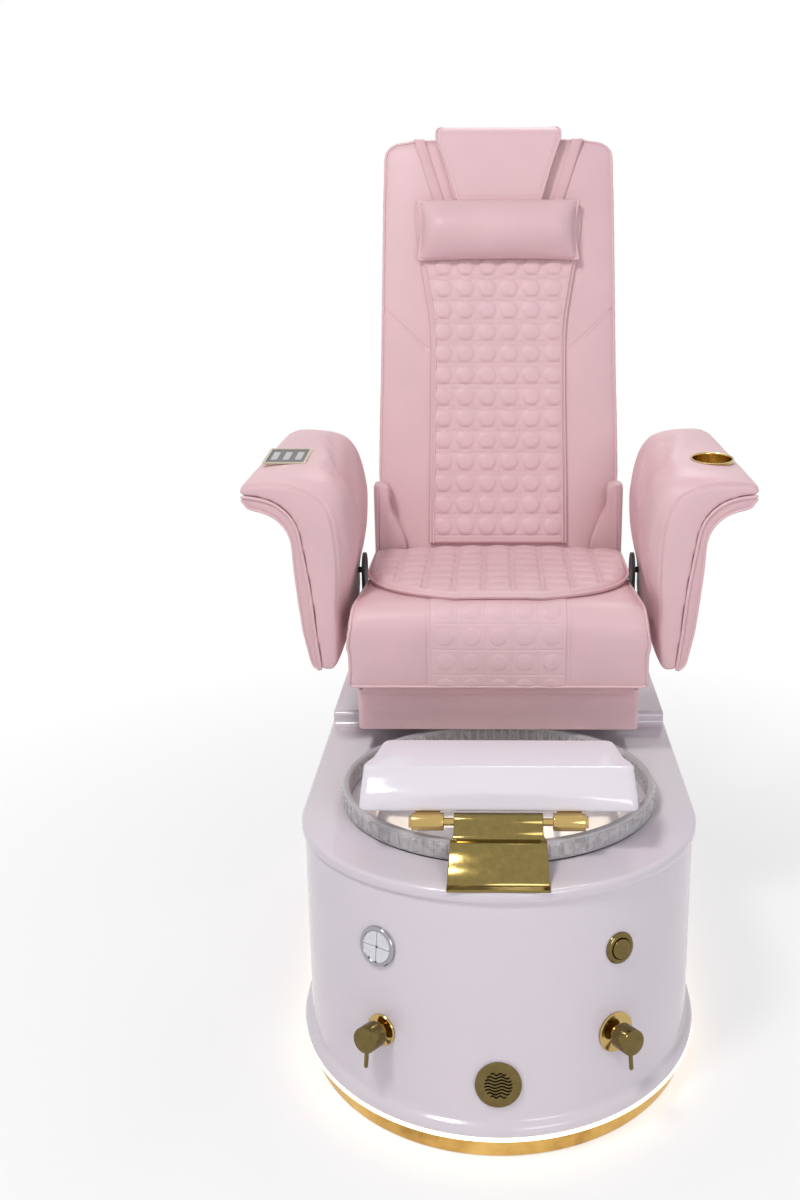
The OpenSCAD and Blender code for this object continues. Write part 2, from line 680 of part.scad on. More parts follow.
pad_body_r = pad_r - pad_ring + 2;
pad_well_r = pad_r - pad_ring;
pad_face = 4;
module pad_bezel() color(steel) on_wall(-upper_x, upper_z) difference() {
  union() {
    translate([0, 0, 0.5]) cylinder(r = pad_r, h = pad_face, $fn = 96);
    translate([0, 0, -24]) cylinder(r = pad_body_r, h = 25, $fn = 96);
  }
  translate([0, 0, -6]) cylinder(r = pad_well_r, h = 20, $fn = 96);
}

button_t = 8;
module pad_button(k) color("white") on_wall(-upper_x, upper_z)
  translate([0, 0, -6 + pad_travel + 0.3]) rotate([0, 0, 90 * k]) difference() {
    intersection() {
      cylinder(r = pad_well_r - hole_gap, h = button_t, $fn = 96);
      translate([pad_gap / 2, pad_gap / 2, -1]) cube([40, 40, 20]);
    }
    translate([pad_well_r * 0.46, pad_well_r * 0.46, button_t - 0.8]) cylinder(r = 2, h = 2, $fn = 24);
  }
module pad_button_a() pad_button(0);
module pad_button_b() pad_button(1);
module pad_button_c() pad_button(2);
module pad_button_d() pad_button(3);

push_body_r = push_r - 5;
module push_bezel() color(gold) on_wall(upper_x, upper_z) difference() {
  union() {
    translate([0, 0, 0.5]) cylinder(r = push_r, h = 4, $fn = 96);
    translate([0, 0, -30]) cylinder(r = push_body_r, h = 31, $fn = 96);
  }
  translate([0, 0, -14]) cylinder(r = push_cap_r + hole_gap, h = 30, $fn = 96);
}
module push_button() color(gold) on_wall(upper_x, upper_z)
  translate([0, 0, -14 + push_travel + 0.3]) cylinder(r = push_cap_r, h = 17, $fn = 96);

valve_r = 14;
spindle_r = 5;
neck_len = 14;
module valve(disc_r) difference() {
  union() {
    translate([0, 0, -52]) cylinder(r = valve_r, h = 53, $fn = 64);
    translate([0, 0, 0.5]) cylinder(r = disc_r, h = 3.5, $fn = 96);
    cylinder(r = valve_r - 2, h = neck_len, $fn = 64);
  }
  translate([0, 0, -20]) cylinder(r = spindle_r + run_gap, h = 60, $fn = 64);
}
module left_valve() color(gold) on_wall(-knob_x, knob_z) valve(disc_left_r);
module mixer_valve() color(gold) on_wall(knob_x, knob_z) valve(disc_right_r);

module knob() {
  translate([0, 0, neck_len + 0.5]) cylinder(r = knob_r, h = knob_len, $fn = 96);
  translate([0, 0, -18]) cylinder(r = spindle_r, h = 18 + neck_len + 1, $fn = 64);
  translate([0, -knob_r + 2, neck_len + knob_len - 9]) rotate([90, 0, 0])
    cylinder(r = lever_r, h = lever_len, $fn = 32);
}
module left_knob() color(gold) on_wall(-knob_x, knob_z) knob();
module mixer_knob() color(gold) on_wall(knob_x, knob_z) knob();

// ---------------------------------------------------------------- footrest

rod_z = rim_z + hinge_up;
barrel_r = knuckle_r - 1.5;
rim_front = bowl_y + bowl_b;
// Middle line of the bracket's sheet in side view, [-y, z]: over the rim and down to the deck
sheet_line = [[hinge_y + barrel_r - bracket_t / 2, rod_z - 4], [hinge_y + barrel_r + 4, rim_z + 10],
  [rim_front - 4, rim_z + bracket_t + 1], [rim_front + 7, rim_z + bracket_t],
  [rim_front + 20, rim_z - 2], [rim_front + 32, rim_z - 12], [rim_front + 44, rim_z - 23],
  [rim_front + 56, deck_top + 5], [rim_front + 66, deck_top + bracket_t / 2],
  [rim_front + 80, deck_top + bracket_t / 2]];
function side_step(line, i) = let (d = line[min(i + 1, len(line) - 1)] - line[max(i - 1, 0)])
  [d[1], -d[0]] / norm(d);
function offset_line(line, d) = [for (i = [0 : len(line) - 1]) line[i] + d * side_step(line, i)];
module footrest_bracket() color(gold) difference() {
  intersection() {
    union() {
      translate([-bracket_low_w / 2, 0, 0]) rotate([90, 0, 90]) linear_extrude(bracket_low_w)
        polygon([for (p = concat(offset_line(sheet_line, bracket_t / 2),
          [for (i = [len(sheet_line) - 1 : -1 : 0]) offset_line(sheet_line, -bracket_t / 2)[i]])) [-p[0], p[1]]]);
      translate([0, -hinge_y, rod_z]) tube_x(barrel_r, bracket_top_w);
    }
    linear_extrude(rod_z + 40) polygon([[-bracket_low_w / 2, -rim_front - 90], [bracket_low_w / 2, -rim_front - 90],
      [bracket_top_w / 2, -rim_front], [bracket_top_w / 2, -hinge_y + 40], [-bracket_top_w / 2, -hinge_y + 40],
      [-bracket_top_w / 2, -rim_front]]);
  }
  translate([0, -hinge_y, rod_z]) tube_x(rod_r, bracket_low_w + 20);
}
module hinge_rod() color(gold) translate([0, -hinge_y, rod_z]) {
  tube_x(rod_r, 2 * (knuckle_x + knuckle_len) + 8);
  both() translate([knuckle_x + knuckle_len + 2.5, 0, 0]) tube_x(rod_r + 3, 3);
}

rest_z = rod_z + knuckle_r + 0.5;
module footrest_knuckles() color(gold) both() difference() {
  union() {
    translate([knuckle_x + knuckle_len / 2, -hinge_y, rod_z]) tube_x(knuckle_r, knuckle_len);
    box(knuckle_x + 6, knuckle_x + knuckle_len - 6, -hinge_y - 7, -hinge_y + 9, rod_z + 4, rest_z);
  }
  translate([knuckle_x + knuckle_len / 2, -hinge_y, rod_z]) tube_x(rod_r + run_gap, knuckle_len + 2);
}

// Plan of the footrest: a trapezoid with round corners, wide at the front
function rest_ring(front_w, back_w, y0, y1, r, z) = let (
    c = [[-front_w / 2 + r, y0 + r], [front_w / 2 - r, y0 + r], [back_w / 2 - r, y1 - r], [-back_w / 2 + r, y1 - r]])
  [for (q = [0 : 3], i = [0 : 6]) let (t = 180 + 90 * q + 90 * i / 6)
    [c[q][0] + r * cos(t), c[q][1] + r * sin(t), z]];
rest_y = -hinge_y + 5;
function rest_level(t, inset) = rest_ring(rest_w - 0.33 * rest_lean * t - 2 * inset,
  mix(rest_back_w + 36, rest_back_w, t) - 2 * inset, rest_y + rest_lean * t + inset,
  rest_y + rest_depth - 14 * t - inset, rest_r - inset, rest_z + rest_h * t);
module footrest_pad() color("white")
  loft([for (k = [[0, 4], [0.04, 1.2], [0.1, 0], [0.4, 0], [0.7, 0], [0.92, 0.6], [0.97, 2], [1, 5]])
    rest_level(k[0], k[1])]);

// ---------------------------------------------------------------- seat

rail_y0 = step_y + 4;
carriage_web = 6;
carriage_len = rail_len - slide_travel;
module slide_rails() color(steel) both() {
  box(rail_x - rail_w / 2, rail_x + rail_w / 2, rail_y0, rail_y0 + rail_len, step_top, step_top + 4);
  box(rail_x - rail_w / 2 + 8, rail_x + rail_w / 2 - 8, rail_y0, rail_y0 + rail_len, step_top + 4, step_top + rail_h);
}

seat_x = seat_back_w / 2;
frame_front = apron_front - apron_t - 4;
frame_back = back_y - 21;
plate_x = 226;
plate_t = 8;
hinge_back_y = back_y + recline_v * cos(back_lean) - recline_u * sin(back_lean);
hinge_back_z = seat_z - recline_v * sin(back_lean) - recline_u * cos(back_lean);

module seat_frame() color(dark) difference() {
  t = seat_tube;
  union() {
    both() {
      box(seat_x - t, seat_x, -frame_front, frame_back, frame_z, frame_z + t);
      // carriage round the rail, and the posts that carry the frame on it
      box(rail_x - rail_w / 2 + 8 - slide_clear - 4, rail_x + rail_w / 2 - 8 + slide_clear + 4, rail_y0,
        rail_y0 + carriage_len, step_top + 8, step_top + rail_h + slide_clear + carriage_web);
      for (y = [rail_y0, rail_y0 + carriage_len - 40])
        box(rail_x - 12, rail_x + 12, y, y + 40, step_top + rail_h + slide_clear + carriage_web, frame_z);
      for (y = [rail_y0, rail_y0 + carriage_len - 40])
        box(rail_x - 12, seat_x - t, y, y + 40, frame_z, frame_z + t);
      // plates that carry the recline hinge
      box(plate_x - plate_t / 2, plate_x + plate_t / 2, frame_back, hinge_back_y + 20, frame_z, frame_z + t);
      box(plate_x - plate_t / 2, plate_x + plate_t / 2, hinge_back_y - 22, hinge_back_y + 22, frame_z, hinge_back_z);
      translate([plate_x, hinge_back_y, hinge_back_z]) tube_x(22, plate_t);
      // seats for the pan at the four corners
      for (y = [-frame_front, frame_back - 30])
        box(seat_x - t, seat_x, y, y + 30, frame_z + t, pan_z);
    }
    for (y = [-frame_front, frame_back - t]) box(-seat_x + t, seat_x - t, y, y + t, frame_z, frame_z + t);
    box(-20, 20, rod_end_y - 8, rod_end_y, drive_z - 12, frame_z);
    box(-20, 20, rod_end_y - 8, rod_end_y + 18, frame_z, frame_z + t);
    box(-rail_x + 12, rail_x - 12, rail_y0, rail_y0 + 24, frame_z, frame_z + t);
  }
  both() {
    box(rail_x - rail_w / 2 + 8 - slide_clear, rail_x + rail_w / 2 - 8 + slide_clear, rail_y0 - 1,
      rail_y0 + carriage_len + 1, step_top, step_top + rail_h + slide_clear);
    translate([plate_x, hinge_back_y, hinge_back_z]) tube_x(shaft_r + run_gap, 40);
  }
}

drive_z = step_top + 22;
rod_end_y = rail_y0 + 22;
drive_y0 = rail_y0 + 70;
drive_y1 = rail_y0 + rail_len - 4;
module slide_drive() color(dark) difference() {
  union() {
    box(-24, 24, drive_y0, drive_y0 + 60, step_top, drive_z + 22);
    translate([0, 0, drive_z]) tube_y(16, drive_y0 + 60, drive_y1);
    box(-30, 30, drive_y1 - 30, drive_y1, step_top, drive_z);
  }
  translate([0, 0, drive_z]) tube_y(drive_rod_r + run_gap, drive_y0 - 1, drive_y1 - 6);
}
module slide_rod() color(steel) translate([0, 0, drive_z]) {
  tube_y(drive_rod_r, rod_end_y, drive_y1 - 30);
  tube_y(drive_rod_r + 5, rod_end_y, rod_end_y + 8);
}

apron_back = hinge_back_y + 34;
module apron() color(pink) difference() {
  box(-apron_w / 2, apron_w / 2, -apron_front, apron_back, apron_z, pan_z);
  box(-apron_w / 2 + apron_t, apron_w / 2 - apron_t, -apron_front + apron_t, apron_back - apron_t,
    apron_z - 1, pan_z + 1);
  box(-rail_x - rail_w / 2 - 4, rail_x + rail_w / 2 + 4, apron_back - apron_t - 1, apron_back + 1,
    apron_z - 1, step_top + 50);
  both() box(apron_w / 2 - 2 * apron_t, apron_w / 2 + 1, pivot_y - bracket_w / 2 - 1, pivot_y + bracket_w / 2 + 1,
    pan_z - foot_t - 0.3, pan_z + 1);
}

module seat_pan() color([0.72, 0.56, 0.38])
  box(-seat_x - 5, seat_x + 5, -seat_front + 22, frame_back + 2, pan_z, pan_z + pan_t);

seat_len = seat_front + back_y - 16;
function seat_half(y) = mix(seat_w, seat_back_w, (y + seat_front) / seat_len) / 2;
// Cross-section of the seat cushion, from the left foot over the crown to the right foot
function seat_ring(y, low, top, pull) = let (w = seat_half(y) - pull, r = 26, h = top - low) concat(
  [[-w + 6, y, low], [-w + 1, y, low + 6], [-w + 3, y, low + 0.35 * h]],
  [for (i = [0 : 4]) let (t = 180 - 90 * i / 4) [-w + r + r * cos(t), y, top - r + r * sin(t)]],
  [for (i = [1 : 9]) let (t = i / 10)
    [mix(-w + r, w - r, t), y, top + seat_crown * sin(180 * t) * round_end(h / seat_t)]],
  [for (i = [0 : 4]) let (t = 90 - 90 * i / 4) [w - r + r * cos(t), y, top - r + r * sin(t)]],
  [[w - 3, y, low + 0.35 * h], [w - 1, y, low + 6], [w - 6, y, low]]);
module seat_cushion() color(pink) {
  r = seat_nose_r;
  y0 = -seat_front;
  y1 = seat_len - seat_front;
  nose = [for (i = [0 : 5]) let (t = 90 * i / 5) [y0 + r - r * cos(t), seat_z - seat_crown - r + r * sin(t)]];
  loft(concat(
    [seat_ring(y0 + 0.5, cushion_z + 6, seat_z - seat_crown - r - 8, 6)],
    [for (i = [0 : 5]) seat_ring(nose[i][0] + 1, cushion_z, nose[i][1], max(0, 3 - i))],
    [for (t = [0.28, 0.44, 0.6, 0.76, 0.9]) seat_ring(mix(y0, y1, t), cushion_z, seat_z - seat_crown, 0)],
    [seat_ring(y1 - 8, cushion_z, seat_z - seat_crown - 3, 2),
     seat_ring(y1, cushion_z + 8, seat_z - seat_crown - 12, 8)]));
}

// Quilted topper: straight behind, round in front, ribbed from front to back
function topper_half(t) = topper_a * sqrt(max(0, 1 - pow(max(0, 1 - t / 0.62), 2.2)));
topper_y0 = -seat_front + 34;
function topper_z(x, y) = seat_z - seat_crown + seat_crown * sin(90 + 90 * x / seat_half(y)) + soft_gap + 0.4;
module seat_topper() color([0.88, 0.73, 0.77]) {
  rows = [for (j = [0 : 10]) pow(j / 10, 1.3)];
  cols = [for (i = [0 : 26]) 2 * i / 26 - 1];
  grid = function(lift) [for (t = rows) let (
      y = topper_y0 + 3 + (topper_len - 6) * t, w = topper_half(0.03 + 0.97 * t)) [for (s = cols) let (
      x = w * s, e = round_end(6 * (1 - abs(s))) * round_end(9 * (t + 0.02)),
      rib = 0.72 + 0.28 * (round((s + 1) * 13) % 2))
    [x, y, topper_z(x, y) + (lift ? 3 + (topper_t - 3) * e * rib : 0)]]];
  grid_pad(grid(true), grid(false));
}

motor_x = plate_x - plate_t / 2;
module recline_motor() color(dark) translate([0, hinge_back_y, hinge_back_z]) difference() {
  union() {
    box(motor_x - 34, motor_x, -24, 26, -26, 24);
    translate([motor_x - 17, 0, -56]) cylinder(r = 16, h = 40, $fn = 64);
  }
  translate([motor_x, 0, 0]) tube_x(shaft_r + run_gap + 0.2, 100);
}

// ---------------------------------------------------------------- armrests

bracket_w = 70;
arm_bracket_t = 6;
arm_bracket_x = arm_low_in - 18;
pivot_z = seat_z - pivot_drop;
boss_r = 18;
boss_in = arm_bracket_x + arm_bracket_t + 2;
module arm_brackets() color(steel) both() {
  x0 = arm_bracket_x;
  box(seat_x - seat_tube, x0, pivot_y - bracket_w / 2, pivot_y + bracket_w / 2, pan_z - foot_t, pan_z);
  box(x0, x0 + arm_bracket_t, pivot_y - bracket_w / 2, pivot_y + bracket_w / 2, pan_z - foot_t, pivot_z);
  translate([x0 + arm_bracket_t / 2, pivot_y, pivot_z]) tube_x(bracket_w / 2, arm_bracket_t);
  translate([x0 + 20, pivot_y, pivot_z]) tube_x(pin_r, 36);
}

// Cross-sections of an armrest in [x, z], height measured from the seat's surface.
// Both run up the inner face, over the tray and back down along the outer shell.
web_x = arm_low_in + 42;
function arm_shell_line(d) = [
  [arm_out - 9, arm_top - 18], [arm_out - 34, arm_top - 21], [arm_out - 60, arm_top - 29],
  [web_x + 48, arm_top - 43], [web_x + 34, arm_top - 60], [web_x + 25, arm_top - 82],
  [web_x + 18, arm_top - 122], [web_x + 8, arm_top - 190], [web_x + 1, -arm_drop + 72], [web_x - 6, -arm_drop + 6]]
  + [for (i = [0 : 9]) d * [[0.1, -1], [-0.1, -1.1], [0.1, -1.15], [0.45, -1.1], [0.8, -0.9], [1, -0.5],
    [1, -0.1], [1, 0], [0.95, 0], [0.6, -0.25]][i]];
function arm_front_line() = concat([
  [arm_low_in + 18, -arm_drop], [arm_low_in + 7, -arm_drop + 18], [arm_low_in + 4, -arm_drop + 60],
  [arm_low_in + 6, -20], [arm_low_in + 9, 30], [arm_in + 34, 76], [arm_in + 42, arm_top - 68],
  [arm_in + 58, arm_top - 37], [arm_in + 82, arm_top - 17], [arm_in + 112, arm_top - 5],
  [arm_out - 52, arm_top - 1], [arm_out - 22, arm_top - 2], [arm_out - 5, arm_top - 6], [arm_out - 1, arm_top - 12]],
  arm_shell_line(0));
function arm_mid_line() = concat([
  [arm_low_in + 18, -arm_drop], [arm_low_in + 4, -arm_drop + 18], [arm_low_in, -arm_drop + 60],
  [arm_low_in - 1, -15], [arm_in + 9, 30], [arm_in, 76], [arm_in, arm_top - 68],
  [arm_in + 10, arm_top - 24], [arm_in + 34, arm_top + 2], [arm_in + 74, arm_top + 13],
  [arm_out - 72, arm_top + 13], [arm_out - 28, arm_top + 8], [arm_out - 6, arm_top - 1], [arm_out, arm_top - 11]],
  arm_shell_line(0));
// Rise towards the back, and taper of the tray's outer edge
arm_taper = 27;
function arm_place(line, y) = let (t = (y + arm_front) / arm_len) [for (p = line)
  [p[0] - arm_taper * t * ease((p[0] - web_x - 20) / 100), y, seat_z + p[1] + arm_rise * t * ease((p[1] - 20) / 130)]];
function arm_tuck(line, d) = [for (i = [0 : len(line) - 1]) let (p = line[i]) i > 11 ? p
  : [p[0] + d * ease((web_x + 10 - p[0]) / 60), p[1] - d * 0.8 * ease((p[1] - arm_top + 60) / 60)]];
module cup_place() translate([tray_x, cup_back - arm_front, seat_z + arm_top + 13 + arm_rise * cup_back / arm_len])
  rotate([atan(arm_rise / arm_len), 0, 0]) children();
module arm_cushion_body() {
  y0 = -arm_front;
  y1 = arm_len - arm_front;
  f = arm_front_line();
  m = arm_mid_line();
  loft([
    arm_place(f, y0), arm_place(mix_rings(f, m, 0.42), y0 + 5), arm_place(mix_rings(f, m, 0.72), y0 + 16),
    arm_place(mix_rings(f, m, 0.93), y0 + 36), arm_place(m, y0 + 66), arm_place(m, y0 + 150),
    arm_place(m, y0 + 235), arm_place(m, y1 - 60), arm_place(arm_tuck(m, 3), y1 - 30),
    arm_place(arm_tuck(m, 8), y1 - 10), arm_place(arm_tuck(m, 15), y1)]);
}
module arm_pivot() translate([0, pivot_y, pivot_z]) children();
module arm_shell_body() {
  inner = arm_shell_line(soft_gap + 0.5);
  outer = arm_shell_line(arm_shell_t);
  line = concat(outer, [for (i = [9 : -1 : 0]) inner[i]]);
  difference() {
    union() {
      loft([for (t = [0, 0.33, 0.67, 1]) arm_place(line, mix(-arm_front + 1, arm_len - arm_front - 1, t))]);
      arm_pivot() translate([(boss_in + web_x + 12) / 2, 0, 0]) tube_x(boss_r, web_x + 12 - boss_in);
    }
    arm_pivot() translate([boss_in + 15, 0, 0]) tube_x(pin_r + run_gap, 40);
  }
}
module arm_cushion_right() color(pink) difference() {
  arm_cushion_body();
  arm_pivot() translate([arm_low_in, 0, 0]) tube_x(boss_r + soft_gap, 120);
  cup_place() translate([0, 0, -cup_depth - 6]) cylinder(r = cup_r + 2.3, h = 100, $fn = 96);
}
module arm_shell_right() color([0.80, 0.63, 0.67]) difference() {
  arm_shell_body();
  cup_place() translate([0, 0, -cup_depth - 6]) cylinder(r = cup_r + 2.3, h = 60, $fn = 96);
}
module cup_holder() color(gold) cup_place() difference() {
  union() {
    translate([0, 0, -cup_depth - 2]) cylinder(r = cup_r + 2, h = cup_depth + 3, $fn = 96);
    translate([0, 0, 0.5]) cylinder(r = cup_r + 4, h = 1.5, $fn = 96);
  }
  translate([0, 0, -cup_depth]) cylinder(r = cup_r, h = cup_depth + 10, $fn = 96);
}

module remote_place() mirror([1, 0, 0])
  translate([tray_x, remote_back - arm_front, seat_z + arm_top + 13 + arm_rise * remote_back / arm_len])
    rotate([atan(arm_rise / arm_len), 0, 0]) children();
module remote_box(grow) box(-remote_w / 2 + 4 - grow, remote_w / 2 - 4 + grow,
  -remote_len / 2 + 4 - grow, remote_len / 2 - 4 + grow, -16 - grow, 4);
module arm_cushion_left() color(pink) difference() {
  mirror([1, 0, 0]) difference() {
    arm_cushion_body();
    arm_pivot() translate([arm_low_in, 0, 0]) tube_x(boss_r + soft_gap, 120);
  }
  remote_place() remote_box(soft_gap);
}
module arm_shell_left() color([0.80, 0.63, 0.67]) mirror([1, 0, 0]) arm_shell_body();

key_pitch = 22;
key_w = 13;
key_len = 50;
key_well = 5;
module remote_panel() color(steel) remote_place() difference() {
  union() {
    remote_box(0);
    box(-remote_w / 2, remote_w / 2, -remote_len / 2, remote_len / 2, 0.5, 3);
  }
  for (k = [-1 : 1]) translate([k * key_pitch, 0, 0])
    box(-key_w / 2 - 0.4, key_w / 2 + 0.4, -key_len / 2 - 0.6, key_len / 2 + 0.6, 3 - key_well, 10);
}
module remote_key(k) color([0.75, 0.75, 0.77]) remote_place() translate([k * key_pitch, 0, 3 - key_well]) {
  rotate([90, 0, 90]) linear_extrude(key_w, center = true)
    polygon([[-key_len / 2, 2.2], [0, 0.3], [key_len / 2, 2.2], [key_len / 2, 5], [0, 6], [-key_len / 2, 5]]);
  translate([0, 0, 1]) tube_x(0.95, key_w);
}
module remote_key_a() remote_key(-1);
module remote_key_b() remote_key(0);
module remote_key_c() remote_key(1);

// ---------------------------------------------------------------- backrest

// Backrest frame: X across, Z up along the lean, +Y into the backrest from its front face
module on_back() translate([0, back_y, seat_z]) rotate([-back_lean, 0, 0]) children();
foot_u = -40;
function back_half(u) = let (
    w = u < waist_u ? mix(back_foot_w, back_w, ease(u / waist_u))
      : mix(back_w, back_top_w, (u - waist_u) / (back_len - waist_u)),
    c = max(0, u - back_len + back_corner_r))
  w / 2 - back_corner_r + sqrt(max(0, pow(back_corner_r, 2) - c * c));

module back_frame() color(steel) {
  t = back_tube;
  v0 = back_cushion_t + 0.5;
  on_back() difference() {
    union() {
      both() {
        box(upright_x - t / 2, upright_x + t / 2, v0, v0 + t, -recline_u, back_len - 60);
        translate([upright_x, recline_v, -recline_u]) tube_x(22, t);
      }
      for (u = [20, 390, back_len - 60 - t]) box(-upright_x + t / 2, upright_x - t / 2, v0, v0 + t, u, u + t);
    }
    translate([0, recline_v, -recline_u]) tube_x(shaft_r, 3 * upright_x);
  }
  translate([0, hinge_back_y, hinge_back_z]) {
    tube_x(shaft_r, 2 * (plate_x + plate_t / 2 + 4));
  }
}

// Outline of the rear cover, inset from the cushion's, as [x, u]
function cover_side(inset) = let (top = back_len - 3 - inset, u1 = top - back_corner_r, w = back_half(u1) - 4 - inset)
  concat([for (i = [0 : 10]) let (u = mix(foot_u + 12 + inset, u1, i / 10)) [back_half(u) - 4 - inset, u]],
    [for (i = [1 : 6]) let (t = 15 * i) [w - back_corner_r * (1 - cos(t)), u1 + back_corner_r * sin(t)]]);
function cover_plan(inset) = let (side = cover_side(inset), n = len(side))
  concat(side, [for (i = [n - 1 : -1 : 0]) [-side[i][0], side[i][1]]]);
module back_cover() color(pink) on_back() {
  v0 = back_cushion_t + soft_gap;
  v1 = back_cushion_t + cover_d;
  difference() {
    translate([0, v1, 0]) rotate([90, 0, 0]) linear_extrude(v1 - v0) polygon(cover_plan(0));
    translate([0, v1 - cover_t, 0]) rotate([90, 0, 0]) linear_extrude(v1) polygon(cover_plan(cover_t));
    box(-upright_x - 20, upright_x + 20, v0 - 1, v1 - cover_t, foot_u - 10, foot_u + 30);
  }
  both() for (u = [120, back_len - 140]) translate([upright_x, back_cushion_t + 0.5 + back_tube, u])
    tube_y(9, 0.3, cover_d - back_tube - cover_t);
}

// Cross-section of the backrest cushion: flat at the back, crowned in front, sides drawn in
function back_ring(u, pull) = let (w = back_half(u) - pull, d = back_cushion_t) concat(
  [for (i = [0 : 12]) let (s = 2 * i / 12 - 1) [w * s, 10 * pow(abs(s), 4) + (abs(s) == 1 ? 4 : 0) + pull * 0.6, u]],
  [[w + 1, 30, u], [w - 3, 0.62 * d, u], [w - 1, d - 4, u], [w - 6, d, u]],
  [[6 - w, d, u], [1 - w, d - 4, u], [3 - w, 0.62 * d, u], [-w - 1, 30, u]]);
module back_cushion() color(pink) on_back() {
  r = back_corner_r;
  loft(concat([back_ring(foot_u, 10), back_ring(foot_u + 4, 4), back_ring(foot_u + 16, 0)],
    [for (t = [0, 0.25, 0.5, 0.75, 1]) back_ring(mix(0, waist_u, t), 0)],
    [for (t = [0.14, 0.3, 0.46, 0.62, 0.78, 0.92]) back_ring(mix(waist_u, back_len - r, t), 0)],
    [for (t = [0, 30, 55, 75]) back_ring(back_len - r + r * sin(t), 6 * (1 - cos(t)))],
    [back_ring(back_len, 12)]));
}

function mat_half(u) = u < 420 ? mix(mat_waist_w + 8, mat_waist_w, ease(u / 400)) / 2
  : mix(mat_waist_w, mat_top_w, ease((u - 420) / 270)) / 2;
mat_top_u = pillow_u + pillow_h - 4;
dome_u0 = 26;
function mat_x(i, ni, u, pitch) = i == 0 ? -mat_half(u) : i == ni ? mat_half(u)
  : (i - 1 - dome_cols) * pitch / 2 * (1 + 0.0006 * max(0, u - 420));
module back_mat() color([0.88, 0.73, 0.77]) on_back() rotate([90, 0, 0]) {
  pitch = (mat_waist_w - 30) / dome_cols;
  us = concat([4, 12], [for (k = [0 : 2 * dome_rows]) dome_u0 + k * pitch / 2],
    [for (t = [0.3, 0.6, 0.9, 1]) mix(dome_u0 + dome_rows * pitch, mat_top_u, t)]);
  nj = len(us) - 1;
  ni = 2 * dome_cols + 2;
  grid_pad(
    [for (j = [0 : nj]) let (v = abs(j - 2 - dome_rows) < dome_rows ? (j % 2) : 0) [
      for (i = [0 : ni]) let (x = mat_x(i, ni, us[j], pitch), edge = i == 0 || i == ni || j == 0 || j == nj,
          dome = i > 1 && i < ni - 1 && i % 2 == 0 ? v : 0)
        [x, us[j], edge ? 4 + 0.5 * sin(40 * j) * sin(50 * i) : mat_t * (0.74 + 0.26 * dome) - abs(x) * 0.008]]],
    [for (u = us) [for (i = [0 : ni]) [mat_x(i, ni, u, pitch), u, soft_gap]]]);
}

// Head flap: a panel down the front of the backrest that rolls over its top
flap_u = mat_top_u + 3;
module head_flap() color(pink) on_back() {
  top = back_len + soft_gap;
  d = flap_t;
  h = flap_roll;
  intersection() {
    rotate([90, 0, 90]) translate([0, 0, -flap_top_w / 2]) linear_extrude(flap_top_w) polygon([
      [-soft_gap, flap_u], [6 - d, flap_u], [-d, flap_u + 6], [-d - 2, mix(flap_u, top, 0.5)], [-d, top],
      [5 - d, top + 0.5 * h], [12 - d, top + 0.72 * h], [22 - d, top + 0.88 * h], [14, top + h],
      [56, top + h], [74, top + 0.86 * h], [86, top + 0.66 * h], [93, top + 0.4 * h], [95, top], [-soft_gap, top]]);
    rotate([90, 0, 0]) translate([0, 0, -130]) linear_extrude(180) polygon([
      [-flap_low_w / 2, flap_u - 1], [flap_low_w / 2, flap_u - 1], [flap_top_w / 2, top],
      [flap_top_w / 2 - 1, top + 0.5 * h], [flap_top_w / 2 - 11, top + h + 1], [11 - flap_top_w / 2, top + h + 1],
      [1 - flap_top_w / 2, top + 0.5 * h], [-flap_top_w / 2, top]]);
  }
}

// Pillow: sides drawn in between its corners, thick in the middle
function pillow_ring(t) = let (u = pillow_u + pillow_h * t, w = (pillow_w - 14 * sin(180 * t)) / 2,
    d = 5 + (pillow_t - 10) * sin(180 * mix(0.06, 0.94, t))) concat(
  [for (i = [0 : 10]) let (s = 2 * i / 10 - 1)
    [w * s, -mat_t - soft_gap - 0.3 - 4 - d * round_end(3.2 * (1 - abs(s))), u]],
  [for (i = [10 : -1 : 0]) let (s = 2 * i / 10 - 1) [w * s, -mat_t - soft_gap - 1 + 0.7 * s * s, u]]);
module pillow() color(pink) on_back()
  loft([for (t = [0, 0.06, 0.18, 0.34, 0.5, 0.66, 0.82, 0.94, 1]) pillow_ring(t)]);

// Straps run from the pillow up the front of the backrest and over its top to the rear cover
strap_low_x = 110;
strap_top_x = 152;
module pillow_straps() color([0.82, 0.66, 0.70]) on_back() both() {
  t = strap_t;
  v1 = back_cushion_t + cover_d;
  top = back_len + soft_gap;
  rotate([90, 0, 0]) translate([0, 0, soft_gap]) linear_extrude(t) polygon([
    [strap_low_x, pillow_u + pillow_h - 2], [strap_low_x + strap_w * 0.9, pillow_u + pillow_h - 2],
    [strap_top_x + strap_w * 0.9, top], [strap_top_x, top]]);
  box(strap_top_x, strap_top_x + strap_w * 0.9, -soft_gap - t, v1 + soft_gap + t, top, top + t);
  box(strap_top_x, strap_top_x + strap_w * 0.9, v1 + soft_gap, v1 + soft_gap + t, back_len - 90, top);
}

// Side gussets: upholstered ears beside the narrow foot of the backrest
gusset_y0 = back_y - 10;
gusset_t = 44;
gusset_out = apron_w / 2 - 1;
module side_gussets() color(pink) both() translate([0, gusset_y0 + gusset_t, 0]) rotate([90, 0, 0])
  linear_extrude(gusset_t) polygon([
    [gusset_out - 12, pan_z], [gusset_out, pan_z], [gusset_out, seat_z + 128], [gusset_out - 3, seat_z + 138],
    [back_half(140) + 2, seat_z + 120], [back_half(90) + 3, seat_z + 84], [back_half(50) + 4, seat_z + 40],
    [back_half(20) + 5, seat_z], [back_half(20) + 8, seat_z - 24], [gusset_out - 12, seat_z - 52]]);

